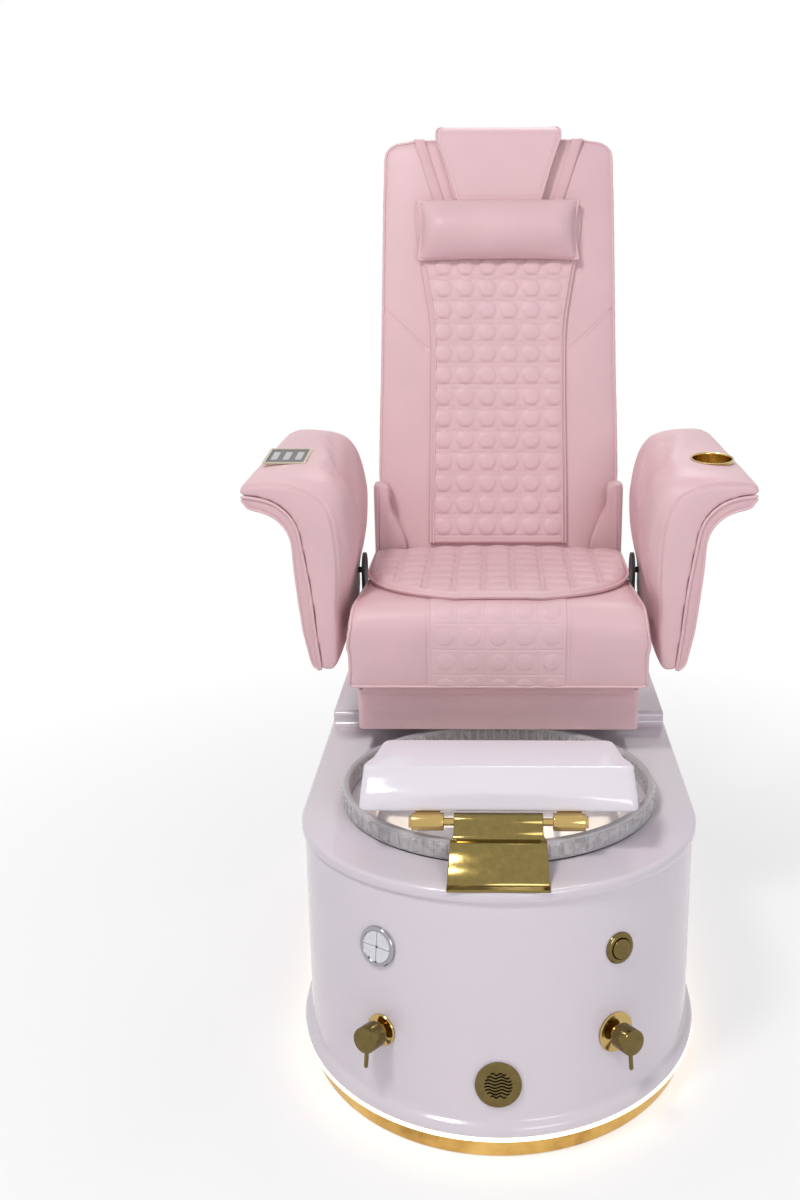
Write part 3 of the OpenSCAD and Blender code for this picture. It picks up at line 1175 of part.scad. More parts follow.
kick_base();
led_strip();
tub_shell();
tub_deck();
inner_frame();
glass_bowl();
bowl_gasket();
bowl_drain();
drain_pipe();
jet_pump();
bowl_inlet();
supply_hoses();
water_inlets();
rear_panel();
panel_screws();
power_inlet();
control_box();
vent_grille();
pad_bezel();
push_bezel();
left_valve();
mixer_valve();
footrest_bracket();
hinge_rod();
slide_rails();
slide_drive();
pad_button_a();
pad_button_b();
pad_button_c();
pad_button_d();
push_button();
left_knob();
mixer_knob();
footrest_pad();
footrest_knuckles();
seat_frame();
slide_rod();
apron();
seat_pan();
seat_cushion();
seat_topper();
recline_motor();
arm_brackets();
side_gussets();
back_frame();
back_cover();
back_cushion();
back_mat();
head_flap();
pillow();
pillow_straps();
arm_cushion_left();
arm_shell_left();
arm_cushion_right();
arm_shell_right();
cup_holder();
remote_panel();
remote_key_a();
remote_key_b();
remote_key_c();
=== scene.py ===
# %% [markdown]
# # A pedicure spa chair
# The real chair is a foot bath with a crystal bowl, and a reclining chair that slides on its deck.
# Its construction already exists as a solid model in millimetres, with a hinge, slide or push for
# everything that moves. This lesson opens that model as a fixed frame, and then dresses it: each soft
# or glossy piece is built in its place, given a finish, and told which moving body carries it.

# %% Open the frame
import bpy
import bmesh
import json
import math
import numpy as np
from mathutils import Matrix, Vector
from mathutils.bvhtree import BVHTree

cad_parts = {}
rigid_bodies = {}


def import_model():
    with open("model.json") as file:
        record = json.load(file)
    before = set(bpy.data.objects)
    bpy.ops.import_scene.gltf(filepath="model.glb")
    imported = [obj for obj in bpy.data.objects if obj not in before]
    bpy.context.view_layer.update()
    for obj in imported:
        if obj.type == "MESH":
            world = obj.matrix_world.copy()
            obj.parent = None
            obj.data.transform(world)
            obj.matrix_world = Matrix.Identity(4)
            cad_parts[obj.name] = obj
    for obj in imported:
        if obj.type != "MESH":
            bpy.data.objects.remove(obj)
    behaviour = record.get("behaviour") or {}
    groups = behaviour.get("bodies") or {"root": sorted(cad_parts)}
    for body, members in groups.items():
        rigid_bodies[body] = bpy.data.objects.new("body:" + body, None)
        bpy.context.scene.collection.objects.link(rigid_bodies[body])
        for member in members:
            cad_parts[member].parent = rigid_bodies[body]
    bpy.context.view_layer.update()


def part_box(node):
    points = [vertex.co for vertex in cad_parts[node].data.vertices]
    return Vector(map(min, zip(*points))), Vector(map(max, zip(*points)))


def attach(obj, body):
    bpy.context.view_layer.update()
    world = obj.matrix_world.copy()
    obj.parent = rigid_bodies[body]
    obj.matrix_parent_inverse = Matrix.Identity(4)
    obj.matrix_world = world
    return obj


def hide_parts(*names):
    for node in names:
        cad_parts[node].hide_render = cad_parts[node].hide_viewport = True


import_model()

# %% [markdown]
# ## Camera
# The chair is seen from the front, a little from above, from about two metres. A long frame shows the
# whole height. The camera is placed by a rotation matrix: its three columns are the directions of the
# picture's right, of the picture's up, and of the way back towards the viewer.

# %% Set the camera
yaw, pitch, roll = -0.0220, 0.2875, 0.0058
ahead = Vector((math.sin(yaw) * math.cos(pitch), math.cos(yaw) * math.cos(pitch), -math.sin(pitch)))
level = Vector((math.cos(yaw), -math.sin(yaw), 0))
down = ahead.cross(level)
right = math.cos(roll) * level + math.sin(roll) * down
lower = math.cos(roll) * down - math.sin(roll) * level
camera = bpy.data.objects.new("camera", bpy.data.cameras.new("camera"))
bpy.context.scene.collection.objects.link(camera)
camera.data.lens, camera.data.sensor_width = 36.3555, 36
camera.data.shift_x = -0.05925
camera.matrix_world = Matrix((
    (right.x, -lower.x, -ahead.x, -0.00285), (right.y, -lower.y, -ahead.y, -2.1512),
    (right.z, -lower.z, -ahead.z, 1.3237), (0, 0, 0, 1)))
bpy.context.scene.camera = camera
bpy.context.scene.view_settings.view_transform = "Standard"
print("camera at", tuple(round(c, 3) for c in camera.location))

# %% [markdown]
# ## Writing finishes as expressions
# A finish is a small network of shader nodes. Wiring each node by hand hides the idea, so two small
# classes do it. A Wire stands for one output and takes + - * like a number, which adds Math nodes.
# A Finish holds one material and adds any other node by its type, its settings and its inputs.

# %% Wires and finishes
class Wire:
    """One output of a shader node, for use in sums."""

    def __init__(self, finish, socket):
        self.finish, self.socket = finish, socket

    def sum(self, operation, first, second):
        return self.finish.add("ShaderNodeMath", {"operation": operation}, {0: first, 1: second})[0]

    def __add__(self, other):
        return self.sum("ADD", self, other)

    def __sub__(self, other):
        return self.sum("SUBTRACT", self, other)

    def __rsub__(self, other):
        return self.sum("SUBTRACT", other, self)

    def __mul__(self, other):
        return self.sum("MULTIPLY", self, other)

    __radd__ = __add__
    __rmul__ = __mul__


class Finish:
    """A material whose nodes are added one by one."""

    def __init__(self, name):
        self.material = bpy.data.materials.new(name)
        self.material.use_nodes = True
        self.tree = self.material.node_tree
        self.tree.nodes.clear()

    def add(self, kind, settings=None, sockets=None):
        node = self.tree.nodes.new(kind)
        for key, value in (settings or {}).items():
            if key == "stops":
                ramp = node.color_ramp.elements
                while len(ramp) > len(value):
                    ramp.remove(ramp[-1])
                while len(ramp) < len(value):
                    ramp.new(1.0)
                for stop, (place, colour) in zip(ramp, value):
                    stop.position, stop.color = place, (*colour, 1)
            else:
                setattr(node, key, value)
        for key, value in (sockets or {}).items():
            socket = node.inputs[key]
            if isinstance(value, Wire):
                self.tree.links.new(value.socket, socket)
            elif hasattr(value, "__len__") and len(socket.default_value) == 4 and len(value) == 3:
                socket.default_value = (*value, 1)
            else:
                socket.default_value = value
        return [Wire(self, out) for out in node.outputs]

    def place(self):
        """The point being shaded, in the object's own metres."""
        return self.add("ShaderNodeTexCoord")[3]

    def speckle(self, size, detail=3.0, rough=0.5):
        """Soft random variation, with blotches of about that size in metres."""
        return self.add("ShaderNodeTexNoise", None, {"Vector": self.place(), "Scale": 1 / size,
                                                     "Detail": detail, "Roughness": rough})[0]

    def tint(self, amount, dark, light):
        """A colour between two, by a value from 0 to 1."""
        return self.add("ShaderNodeMix", {"data_type": "RGBA"}, {0: amount, 6: dark, 7: light})[2]

    def shades(self, amount, colour, darker, lighter=1.0):
        """A colour between two shades of one colour, by a value from 0 to 1."""
        return self.tint(amount, *(tuple(min(1.0, c * share) for c in colour) for share in (darker, lighter)))

    def relief(self, height, depth, strength=1.0):
        """A surface raised by a value, to a depth in metres."""
        return self.add("ShaderNodeBump", None, {"Height": height, "Distance": depth, "Strength": strength})[0]

    def skin(self, **sockets):
        """The Principled surface, ready made: words_with_lines are its socket names."""
        wires = {key.replace("_", " "): value for key, value in sockets.items()}
        surface = self.add("ShaderNodeBsdfPrincipled", None, wires)[0]
        self.add("ShaderNodeOutputMaterial", None, {"Surface": surface})
        return self.material


print("helpers for finishes are ready")

# %% [markdown]
# ## Upholstery leather
# The covers are a smooth, softly shining artificial leather in dusty pink. It is flat pressed, so the
# grain is fine: cells of a millimetre or so, with shallow valleys between them. The colour hardly
# varies, but a big cushion picks up faint clouds of tone, and its shine is a little uneven.

# %% Leather
def leather(name, colour, grain=0.0013, shine=0.40, depth=0.00012):
    f = Finish(name)
    valley = f.add("ShaderNodeTexVoronoi", {"feature": "DISTANCE_TO_EDGE"},
                   {"Vector": f.place(), "Scale": 1 / grain})[0]
    wrinkle = f.speckle(0.006, 4.0, 0.6)
    return f.skin(Base_Color=f.shades(f.speckle(0.11, 2.0), colour, 0.94, 1.05),
                  Roughness=wrinkle * 0.14 + (shine - 0.03), Specular_IOR_Level=0.42,
                  Normal=f.relief(valley * 0.8 + wrinkle * 0.6, depth, 0.7))


pink_leather = leather("pink_leather", (0.755, 0.520, 0.548))
quilt_leather = leather("quilt_leather", (0.765, 0.530, 0.558), 0.0011, 0.43)
# a darker copy of the same pink leather: painted shade, for the armrests' outer bands, the back shell, the straps and
# the seat pan
shade_painted_leather = leather("shade_painted_leather", (0.715, 0.475, 0.502), 0.0015, 0.42)
piping_leather = leather("piping_leather", (0.765, 0.530, 0.556), 0.0010, 0.36)
print("leathers:", pink_leather.name, quilt_leather.name, shade_painted_leather.name, piping_leather.name)

# %% [markdown]
# ## Fibreglass, metals, glass and plastics
# The tub is white gelcoat: a hard gloss coat over a faint orange-peel waviness. The fittings are brass
# with tiny differences in polish: some in the metal's own colour, others in two darker copies whose colour
# is painted dark reflection of a room. The plinth is a gold laminate with soft clouds. The bowl is clear
# crystal, which needs real thickness to bend light.

# %% Hard finishes
def gelcoat(name, colour, shine=0.16):
    f = Finish(name)
    peel, clouds = f.speckle(0.010, 2.0), f.speckle(0.35, 2.0)
    return f.skin(Base_Color=f.shades(clouds, colour, 0.97), Roughness=clouds * 0.05 + (shine - 0.02),
                  Normal=f.relief(peel, 0.00006, 0.5), Coat_Weight=0.35, Coat_Roughness=0.05)


def metal(name, colour, shine=0.15, uneven=0.08, blotch=0.03, shade=0.90):
    f = Finish(name)
    clouds = f.speckle(blotch, 3.0, 0.6)
    return f.skin(Base_Color=f.shades(clouds, colour, shade), Metallic=1.0,
                  Roughness=clouds * uneven + (shine - uneven / 2))


def plastic(name, colour, shine=0.4, grain=0.002, depth=0.00005):
    f = Finish(name)
    grains = f.speckle(grain, 3.0, 0.6)
    return f.skin(Base_Color=f.shades(f.speckle(0.08), colour, 0.92), Roughness=grains * 0.12 + (shine - 0.06),
                  Normal=f.relief(grains, depth, 0.5))


white_gelcoat = gelcoat("white_gelcoat", (0.715, 0.660, 0.712))
white_gloss = gelcoat("white_gloss", (0.80, 0.765, 0.825), 0.10)
polished_brass = metal("polished_brass", (0.56, 0.40, 0.15), 0.13, 0.08, 0.02)
# two darker copies of brass, for the band, push button, tap handles and vent: their colour is painted dark reflection
# of a room
brass_dim_reflection = metal("brass_dim_reflection", (0.300, 0.225, 0.078), 0.13, 0.14, 0.012, 0.62)
brass_dark_reflection = metal("brass_dark_reflection", (0.215, 0.160, 0.060), 0.15, 0.12, 0.012, 0.62)
pale_brass = metal("pale_brass", (0.60, 0.52, 0.40), 0.22, 0.10, 0.01)
dark_chrome = metal("dark_chrome", (0.40, 0.39, 0.43), 0.12, 0.06)
chrome = metal("chrome", (0.62, 0.62, 0.65), 0.14, 0.06)
steel = metal("steel", (0.42, 0.42, 0.44), 0.34, 0.12)
black_plastic = plastic("black_plastic", (0.035, 0.035, 0.040), 0.45)
black_rubber = plastic("black_rubber", (0.020, 0.020, 0.022), 0.70, 0.001, 0.0001)
white_plastic = plastic("white_plastic", (0.76, 0.76, 0.80), 0.30)
grey_plastic = plastic("grey_plastic", (0.20, 0.20, 0.21), 0.38)
slate_plastic = plastic("slate_plastic", (0.085, 0.08, 0.085), 0.32)
silver_plastic = plastic("silver_plastic", (0.50, 0.50, 0.50), 0.34)
panel_grey = plastic("panel_grey", (0.62, 0.61, 0.65), 0.36)

GOLDS = [(0.30, (0.30, 0.15, 0.03)), (0.47, (0.58, 0.35, 0.09)), (0.66, (0.78, 0.52, 0.17))]
f = Finish("gold_laminate")
veins, cloud = f.speckle(0.055, 6.0, 0.62), f.speckle(0.20, 2.0)
gold = f.add("ShaderNodeValToRGB", {"stops": GOLDS}, {0: veins * 0.6 + cloud * 0.4})[0]
gold_laminate = f.skin(Base_Color=gold, Roughness=veins * 0.2 + 0.22, Metallic=0.75)

f = Finish("light_line")
glow = f.tint(f.speckle(0.05, 1.0), (1.0, 0.86, 0.62), (1.0, 0.93, 0.78))
light_line = f.skin(Base_Color=(1.0, 0.96, 0.86), Roughness=0.5, Emission_Strength=2.2, Emission_Color=glow)

f = Finish("crystal")
ripple = f.speckle(0.02, 2.0)
crystal = f.skin(Base_Color=f.tint(ripple, (0.88, 0.86, 0.90), (0.97, 0.96, 0.98)), Roughness=ripple * 0.04,
                 Transmission_Weight=0.50, IOR=1.45, Normal=f.relief(ripple, 0.0002, 0.4))
print("finishes so far:", len(bpy.data.materials))

# %% [markdown]
# ## Small modelling tools
# Most pieces here are lofts: a list of closed outlines, joined by strips of faces and capped. Others are
# tubes along a path, which make piping, or turned profiles, which make knobs and rings. All sizes are in
# millimetres, as in a workshop drawing, and are turned into metres when the mesh is made.

# %% Numbers and curves
def mix(a, b, t):
    return a + (b - a) * t


def ease(t):
    t = np.clip(t, 0.0, 1.0)
    return t * t * (3 - 2 * t)


def round_end(t):
    return np.sqrt(1 - (1 - np.clip(t, 0.0, 1.0)) ** 2)


def spline(points, step, closed=False):
    """A smooth line through the points, cut into equal steps."""
    p = np.asarray(points, float)
    n = len(p)
    fine = []
    for i in range(n if closed else n - 1):
        a, b, c, d = (p[(i + k) % n] if closed else p[min(max(i + k, 0), n - 1)] for k in (-1, 0, 1, 2))
        for t in np.linspace(0, 1, 12, endpoint=False):
            fine.append(0.5 * (2 * b + (c - a) * t + (2 * a - 5 * b + 4 * c - d) * t ** 2
                               + (3 * b - a - 3 * c + d) * t ** 3))
    fine.append(p[0] if closed else p[-1])
    return even(np.array(fine), step, closed)


def even(line, step, closed=False):
    """The same line with points at equal steps."""
    line = np.asarray(line, float)
    if closed and np.linalg.norm(line[0] - line[-1]) > 1e-6:
        line = np.vstack([line, line[:1]])
    run = np.concatenate([[0], np.cumsum(np.linalg.norm(np.diff(line, axis=0), axis=1))])
    count = max(2, int(round(run[-1] / step)) + 1)
    at = np.linspace(0, run[-1], count)
    if closed:
        at = at[:-1]
    return np.stack([np.interp(at, run, line[:, k]) for k in range(line.shape[1])], 1)


def beside(line, closed=False):
    """Unit directions at right angles to a line of [a, b]."""
    run = np.roll(line, -1, 0) - np.roll(line, 1, 0) if closed else np.gradient(line, axis=0)
    return np.stack([run[:, 1], -run[:, 0]], 1) / np.maximum(np.linalg.norm(run, axis=1), 1e-6)[:, None]


def smaller(p, inset):
    """A closed outline of [a, b] drawn in by a distance."""
    area = 0.5 * np.sum(p[:, 0] * np.roll(p[:, 1], -1) - np.roll(p[:, 0], -1) * p[:, 1])
    return p - beside(p, True) * inset * np.sign(area)


def round_corners(spots, r, n):
    """Four quarter turns of radius r about four centres, from the lower left one on, as one outline."""
    return np.array([(x + r * math.cos(a), y + r * math.sin(a)) for q, (x, y) in enumerate(spots)
                     for a in np.radians(180 + 90 * q + np.linspace(0, 90, n))])


def oblong(half_x, y0, y1, r, z, n=9):
    """A level rectangle with round corners, centred across."""
    x = half_x - r
    return at_height(round_corners(((-x, y0 + r), (x, y0 + r), (x, y1 - r), (-x, y1 - r)), r, n), z)


def at_height(flat, z):
    """Points of [x, y], all at one height."""
    return np.column_stack([flat, np.full(len(flat), float(z))])


print("a smooth line of", len(spline([(0, 0), (10, 5), (20, 0)], 1.0)), "points")

# %% Lofts, tubes and turned profiles
def loft(rings, ends="capped"):
    """Faces between outlines of equal count; the ends are "capped", "open" or "joined" in a ring."""
    rings = [np.asarray(r, float) for r in rings]
    n, m = len(rings[0]), len(rings)
    faces = [(k * n + i, k * n + (i + 1) % n, (k + 1) * n + (i + 1) % n, (k + 1) * n + i)
             for k in range(m - 1) for i in range(n)]
    if ends == "capped":
        faces += [tuple(range(n - 1, -1, -1)), tuple((m - 1) * n + i for i in range(n))]
    if ends == "joined":
        last = (m - 1) * n
        faces += [(last + i, last + (i + 1) % n, (i + 1) % n, i) for i in range(n)]
    return np.vstack(rings), faces


def join(*parts):
    """Several points-and-faces pairs as one."""
    points, faces, base = [], [], 0
    for p, fs in parts:
        points.append(np.asarray(p, float))
        faces += [tuple(i + base for i in face) for face in fs]
        base += len(p)
    return np.vstack(points), faces


def tube(path, r, sides=8, closed=False):
    """A round cord along a path, with round ends."""
    p = np.asarray(path, float)
    run = (np.roll(p, -1, 0) - np.roll(p, 1, 0)) if closed else np.gradient(p, axis=0)
    run /= np.linalg.norm(run, axis=1)[:, None]
    side = np.cross(run[0], (0, 0, 1) if abs(run[0][2]) < 0.9 else (1, 0, 0))
    rings, turn = [], np.linspace(0, 2 * np.pi, sides, endpoint=False)
    for q, t in zip(p, run):
        side = side - t * np.dot(side, t)
        side /= np.linalg.norm(side)
        rings.append(q + r * (np.cos(turn)[:, None] * side + np.sin(turn)[:, None] * np.cross(t, side)))
    if not closed:
        head = [p[0] + (rings[0] - p[0]) * s - run[0] * r * o for s, o in ((0.35, 0.9), (0.8, 0.5))]
        tail = [p[-1] + (rings[-1] - p[-1]) * s + run[-1] * r * o for s, o in ((0.8, 0.5), (0.35, 0.9))]
        return loft(head + rings + tail)
    points, faces = loft(rings, "open")
    n, last = sides, (len(rings) - 1) * sides
    slip = int(np.argmin([np.linalg.norm(rings[-1][0] - rings[0][s]) for s in range(sides)]))
    faces += [(last + i, last + (i + 1) % n, (i + 1 + slip) % n, (i + slip) % n) for i in range(n)]
    return points, faces


def turned(profile, place, segments=96):
    """A profile of [radius, height] turned round the local Z axis, then put in its place."""
    turn = np.linspace(0, 2 * np.pi, segments, endpoint=False)
    circle = np.stack([np.cos(turn), np.sin(turn)], 1)
    return placed(loft([at_height(max(r, 0.01) * circle, z) for r, z in profile]), place)


def put(points, place):
    """Points moved by a 4 by 4 matrix in millimetres."""
    m = np.array(place)
    return np.asarray(points, float) @ m[:3, :3].T + m[:3, 3]


def placed(part, place):
    return put(part[0], place), part[1]


def block(x0, x1, y0, y1, z0, z1):
    """Eight corners and six faces."""
    p = [(x, y, z) for x in (x0, x1) for y in (y0, y1) for z in (z0, z1)]
    return np.array(p, float), [(0, 1, 3, 2), (4, 6, 7, 5), (0, 4, 5, 1), (2, 3, 7, 6), (0, 2, 6, 4), (1, 5, 7, 3)]


def mirrored(part):
    """The same part on the other side of the middle."""
    points, faces = part
    return points * np.array([-1, 1, 1]), [tuple(reversed(face)) for face in faces]


print("a ring of piping has", len(tube(spline([(0, 0, 0), (9, 0, 0), (9, 9, 0)], 3, True), 1, 8, True)[1]), "faces")

# %% [markdown]
# ## Making and settling objects
# One call makes an object from points and faces: it merges doubles, turns every face outwards, sets smooth
# shading that breaks at sharp edges, and ties the piece to the body that carries it. Modifiers are turned
# into plain mesh before that, so that what moves is the finished shape.

# %% Objects
def solid(name, part):
    points, faces = part
    mesh = bpy.data.meshes.new(name)
    mesh.from_pydata((np.asarray(points) * 0.001).tolist(), [], faces)
    bm = bmesh.new()
    bm.from_mesh(mesh)
    bmesh.ops.remove_doubles(bm, verts=bm.verts, dist=2e-6)
    bmesh.ops.recalc_face_normals(bm, faces=bm.faces)
    bm.to_mesh(mesh)
    bm.free()
    obj = bpy.data.objects.new(name, mesh)
    bpy.context.scene.collection.objects.link(obj)
    return obj


def settle(obj):
    """Turns what the modifiers make into the object's own mesh."""
    view = bpy.context.evaluated_depsgraph_get()
    mesh = bpy.data.meshes.new_from_object(obj.evaluated_get(view))
    obj.modifiers.clear()
    obj.data = mesh
    return obj


def rounded(obj, width, segments=3, angle=30):
    """Edges sharper than the angle get a round of that width in millimetres."""
    bevel = obj.modifiers.new("round", "BEVEL")
    bevel.width, bevel.segments, bevel.limit_method = width * 0.001, segments, "ANGLE"
    bevel.angle_limit, bevel.harden_normals = math.radians(angle), False
    return settle(obj)


def cut(obj, tool, operation="DIFFERENCE"):
    """Takes the tool's shape out of the object, or keeps only what both share; the tool is thrown away."""
    boolean = obj.modifiers.new("cut", "BOOLEAN")
    boolean.object, boolean.operation, boolean.solver = tool, operation, "EXACT"
    settle(obj)
    bpy.data.objects.remove(tool)
    return obj


def dress(obj, finish, body, stands_for=(), angle=38):
    obj.data.materials.clear()
    obj.data.materials.append(finish)
    obj.data.shade_smooth()
    obj.data.set_sharp_from_angle(angle=math.radians(angle))
    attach(obj, body)
    if stands_for:
        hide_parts(*stands_for)
    print(f"{obj.name}: {len(obj.data.polygons)} faces")
    return obj


def piping(name, cords, body):
    """Leather cord: several tubes as one mesh."""
    return dress(solid(name, join(*cords)), piping_leather, body, angle=180)


def surface_of(obj):
    """A quick way to find the nearest point of an object's surface."""
    return BVHTree.FromObject(obj, bpy.context.evaluated_depsgraph_get())


def lay_on(points, tree, lift=0.0):
    """Moves points in millimetres to the nearest place on a surface, raised by the lift."""
    out = []
    for p in np.asarray(points, float):
        spot, normal, _, _ = tree.find_nearest(Vector(p) * 0.001)
        out.append(np.array(spot) * 1000 + np.array(normal) * lift)
    return np.array(out)


print("objects are made in metres from millimetre points")

# %% [markdown]
# ## Stitches
# A sewn seam shows as a row of short threads. Drawing thousands by hand would be madness, so Geometry
# Nodes does it: the seam's line is cut to equal steps, one small stitch is placed at each and turned
# along the line, and everything is made real at the end. The sizes are named inputs of the tree.

# %% The stitch tree
KINDS = {float: "NodeSocketFloat", int: "NodeSocketInt", type(None): "NodeSocketMaterial"}


def new_tree(name, inputs):
    """A tree of Geometry Nodes with named inputs; returns it with what it is given and its last node."""
    tree = bpy.data.node_groups.new(name, "GeometryNodeTree")
    for way in ("INPUT", "OUTPUT"):
        tree.interface.new_socket("Geometry", in_out=way, socket_type="NodeSocketGeometry")
    for title, value in inputs.items():
        socket = tree.interface.new_socket(title, in_out="INPUT", socket_type=KINDS[type(value)])
        if value is not None:
            socket.default_value = value
    return tree, tree.nodes.new("NodeGroupInput").outputs, tree.nodes.new("NodeGroupOutput")


def wire(tree, kind, sockets=None, **settings):
    """Adds a node: a socket is given another node's output, which is linked, or a value."""
    node = tree.nodes.new(kind)
    for key, value in settings.items():
        setattr(node, key, value)
    for key, value in (sockets or {}).items():
        if isinstance(value, bpy.types.NodeSocket):
            tree.links.new(value, node.inputs[key])
        else:
            node.inputs[key].default_value = value
    return node.outputs


def finish_tree(tree, last, instances, material):
    """Instances made real and given a material, as the tree's result."""
    real = wire(tree, "GeometryNodeRealizeInstances", {"Geometry": instances[0]})
    painted = wire(tree, "GeometryNodeSetMaterial", {"Geometry": real[0], "Material": material})
    tree.links.new(painted[0], last.inputs["Geometry"])


def grow(obj, tree, inputs):
    """Runs a tree on an object with the named inputs, and keeps the mesh it makes."""
    make = obj.modifiers.new("grow", "NODES")
    make.node_group = tree
    for item in tree.interface.items_tree:
        if item.item_type == "SOCKET" and item.in_out == "INPUT" and item.name in inputs:
            make[item.identifier] = inputs[item.name]
    return settle(obj)


stitch_tree, given, last = new_tree("stitch_line", {"Spacing": 0.006, "Length": 0.0042, "Thickness": 0.0009,
                                                    "Thread": None})
line = wire(stitch_tree, "GeometryNodeMeshToCurve", {"Mesh": given["Geometry"]})
marks = wire(stitch_tree, "GeometryNodeCurveToPoints", {"Curve": line[0], "Length": given["Spacing"]}, mode="LENGTH")
lie = wire(stitch_tree, "FunctionNodeAlignRotationToVector", {"Vector": marks["Tangent"]}, axis="X")
thread = wire(stitch_tree, "GeometryNodeMeshUVSphere", {"Segments": 6, "Rings": 4, "Radius": 0.5})
sizes = wire(stitch_tree, "ShaderNodeCombineXYZ", {"X": given["Length"], "Y": given["Thickness"],
                                                   "Z": given["Thickness"]})
sewn = wire(stitch_tree, "GeometryNodeInstanceOnPoints", {
    "Points": marks["Points"], "Instance": thread["Mesh"], "Rotation": lie["Rotation"], "Scale": sizes["Vector"]})
finish_tree(stitch_tree, last, sewn, given["Thread"])

f = Finish("pink_thread")
fuzz = f.speckle(0.001)
pink_thread = f.skin(Base_Color=f.tint(fuzz, (0.60, 0.37, 0.42), (0.74, 0.50, 0.55)), Roughness=fuzz * 0.2 + 0.55)


def stitches(name, lines, body, spacing=6.0, length=4.4, thick=0.9):
    """Rows of stitches along lines in millimetres, as one plain mesh."""
    points, edges = [], []
    for path in lines:
        base = len(points)
        points += [tuple(p * 0.001) for p in np.asarray(path, float)]
        edges += [(base + i, base + i + 1) for i in range(len(path) - 1)]
    mesh = bpy.data.meshes.new(name)
    mesh.from_pydata(points, edges, [])
    obj = bpy.data.objects.new(name, mesh)
    bpy.context.scene.collection.objects.link(obj)
    grow(obj, stitch_tree, {"Spacing": spacing * 0.001, "Length": length * 0.001, "Thickness": thick * 0.001,
                            "Thread": pink_thread})
    return dress(obj, pink_thread, body, angle=180)


print("stitch tree has", len(stitch_tree.nodes), "nodes")

# %% [markdown]
# ## Floor, light and white surroundings
# The chair stands in a plain white room. Three soft lamps light it: the strongest high on the left, a wide
# weak one low on the right to open the shadows, and one behind. The surroundings are pure white only for
# the camera, for reflections and through glass, so white shows without flooding the chair with light.

# %% Floor and lamps
WHITE, PALE_AIR, FLOOR_WHITE = (1.0, 1.0, 1.0), (0.95, 0.93, 0.96), (0.93, 0.93, 0.94)
ROOM_LIGHT = 0.44


def seen_directly(finish):
    """1 for rays from the camera, from mirrors and through glass; 0 for rays that carry light."""
    path = finish.add("ShaderNodeLightPath")
    from_camera, from_mirror, through_glass = path[0], path[3], path[6]
    return from_camera.sum("MAXIMUM", from_camera, from_mirror.sum("MAXIMUM", from_mirror, through_glass))


class RoomAir(Finish):
    """The world's own nodes, added in the same way."""

    def __init__(self, world):
        self.tree = world.node_tree
        self.tree.nodes.clear()


room = bpy.data.worlds.new("white_room")
bpy.context.scene.world = room
room.use_nodes = True
air = RoomAir(room)
seen = seen_directly(air)
sky = air.add("ShaderNodeBackground", None, {"Color": air.tint(seen, PALE_AIR, WHITE),
                                             "Strength": seen * (1 - ROOM_LIGHT) + ROOM_LIGHT})[0]
air.add("ShaderNodeOutputWorld", None, {"Surface": sky})

f = Finish("pale_floor")
from_chair = f.add("ShaderNodeVectorMath", {"operation": "LENGTH"}, {0: f.place()})[1]
far = f.add("ShaderNodeMapRange", None, {"Value": from_chair, "From Min": 0.6, "From Max": 1.7})[0]
floor_skin = f.add("ShaderNodeBsdfPrincipled", None, {"Base Color": FLOOR_WHITE,
                                                      "Roughness": f.speckle(0.4) * 0.1 + 0.75})[0]
white_light = f.add("ShaderNodeEmission", None, {"Color": WHITE, "Strength": 1.0})[0]
whiter = seen_directly(f) * (far * 0.45 + 0.55)
blend_in = f.add("ShaderNodeMixShader", None, {0: whiter, 1: floor_skin, 2: white_light})[0]
f.add("ShaderNodeOutputMaterial", None, {"Surface": blend_in})
floor = solid("floor", block(-9000, 9000, -9000, 9000, -20, -1))
floor.data.materials.append(f.material)


def lamp(name, place, aim, size, power, colour=WHITE):
    data = bpy.data.lights.new(name, "AREA")
    data.shape, data.size, data.energy, data.color = "DISK", size, power, colour
    obj = bpy.data.objects.new(name, data)
    bpy.context.scene.collection.objects.link(obj)
    obj.location = place
    obj.rotation_euler = (Vector(aim) - Vector(place)).to_track_quat("-Z", "Y").to_euler()


lamp("key_lamp", (-1.3, -1.7, 3.7), (0, -0.1, 0.6), 0.8, 56, (1.0, 0.97, 0.96))
lamp("fill_lamp", (1.2, -3.0, 1.6), (0, -0.2, 0.6), 1.4, 20, (0.97, 0.97, 1.0))
lamp("rear_lamp", (0.4, 2.2, 3.6), (0, 0, 0.8), 1.2, 26)

# %% [markdown]
# ## The tub
# Seen from above, the tub is half an ellipse in front with two straight sides and round rear corners.
# The same outline serves the plinth, the light line, the skirt, the drum and the deck, each with its own
# reach. The drum widens towards the floor and rolls out into a skirt, so it is a loft of that outline.

# %% The tub's outline
TUB_HALF, CURVE_Y, REACH_TOP, REACH_LOW, REAR, CORNER = 323.0, 300.0, 275.0, 336.0, 438.0, 60.0
KICK_Z, LED_Z, SKIRT_TOP, DECK_LOW, DECK_TOP, STEP_TOP, RIM = 36.0, 42.0, 66.0, 393.0, 413.0, 440.0, 449.0
SLOPE = (REACH_LOW - REACH_TOP) / (DECK_LOW - SKIRT_TOP)


def tub_outline(a, b, rear, rc, z):
    t = np.radians(np.linspace(180, 360, 145))
    front = np.stack([a * np.cos(t), -CURVE_Y + b * np.sin(t)], 1)
    t = np.radians(np.linspace(0, 90, 17))
    right = np.stack([a - rc + rc * np.cos(t), rear - rc + rc * np.sin(t)], 1)
    left = np.stack([rc - a - rc * np.sin(t), rear - rc + rc * np.cos(t)], 1)
    return at_height(np.vstack([front, right, left]), z)


def reach(z):
    return REACH_TOP + SLOPE * (DECK_LOW - z)


def drum_outline(z, out=0.0, inside=0.0):
    """The drum swells by out at the front and sides; its back stays flat. Inside is a step into the wall."""
    front = reach(max(z, SKIRT_TOP)) + out - inside
    return tub_outline(TUB_HALF + out - inside, front, REAR - inside, CORNER - inside, z)


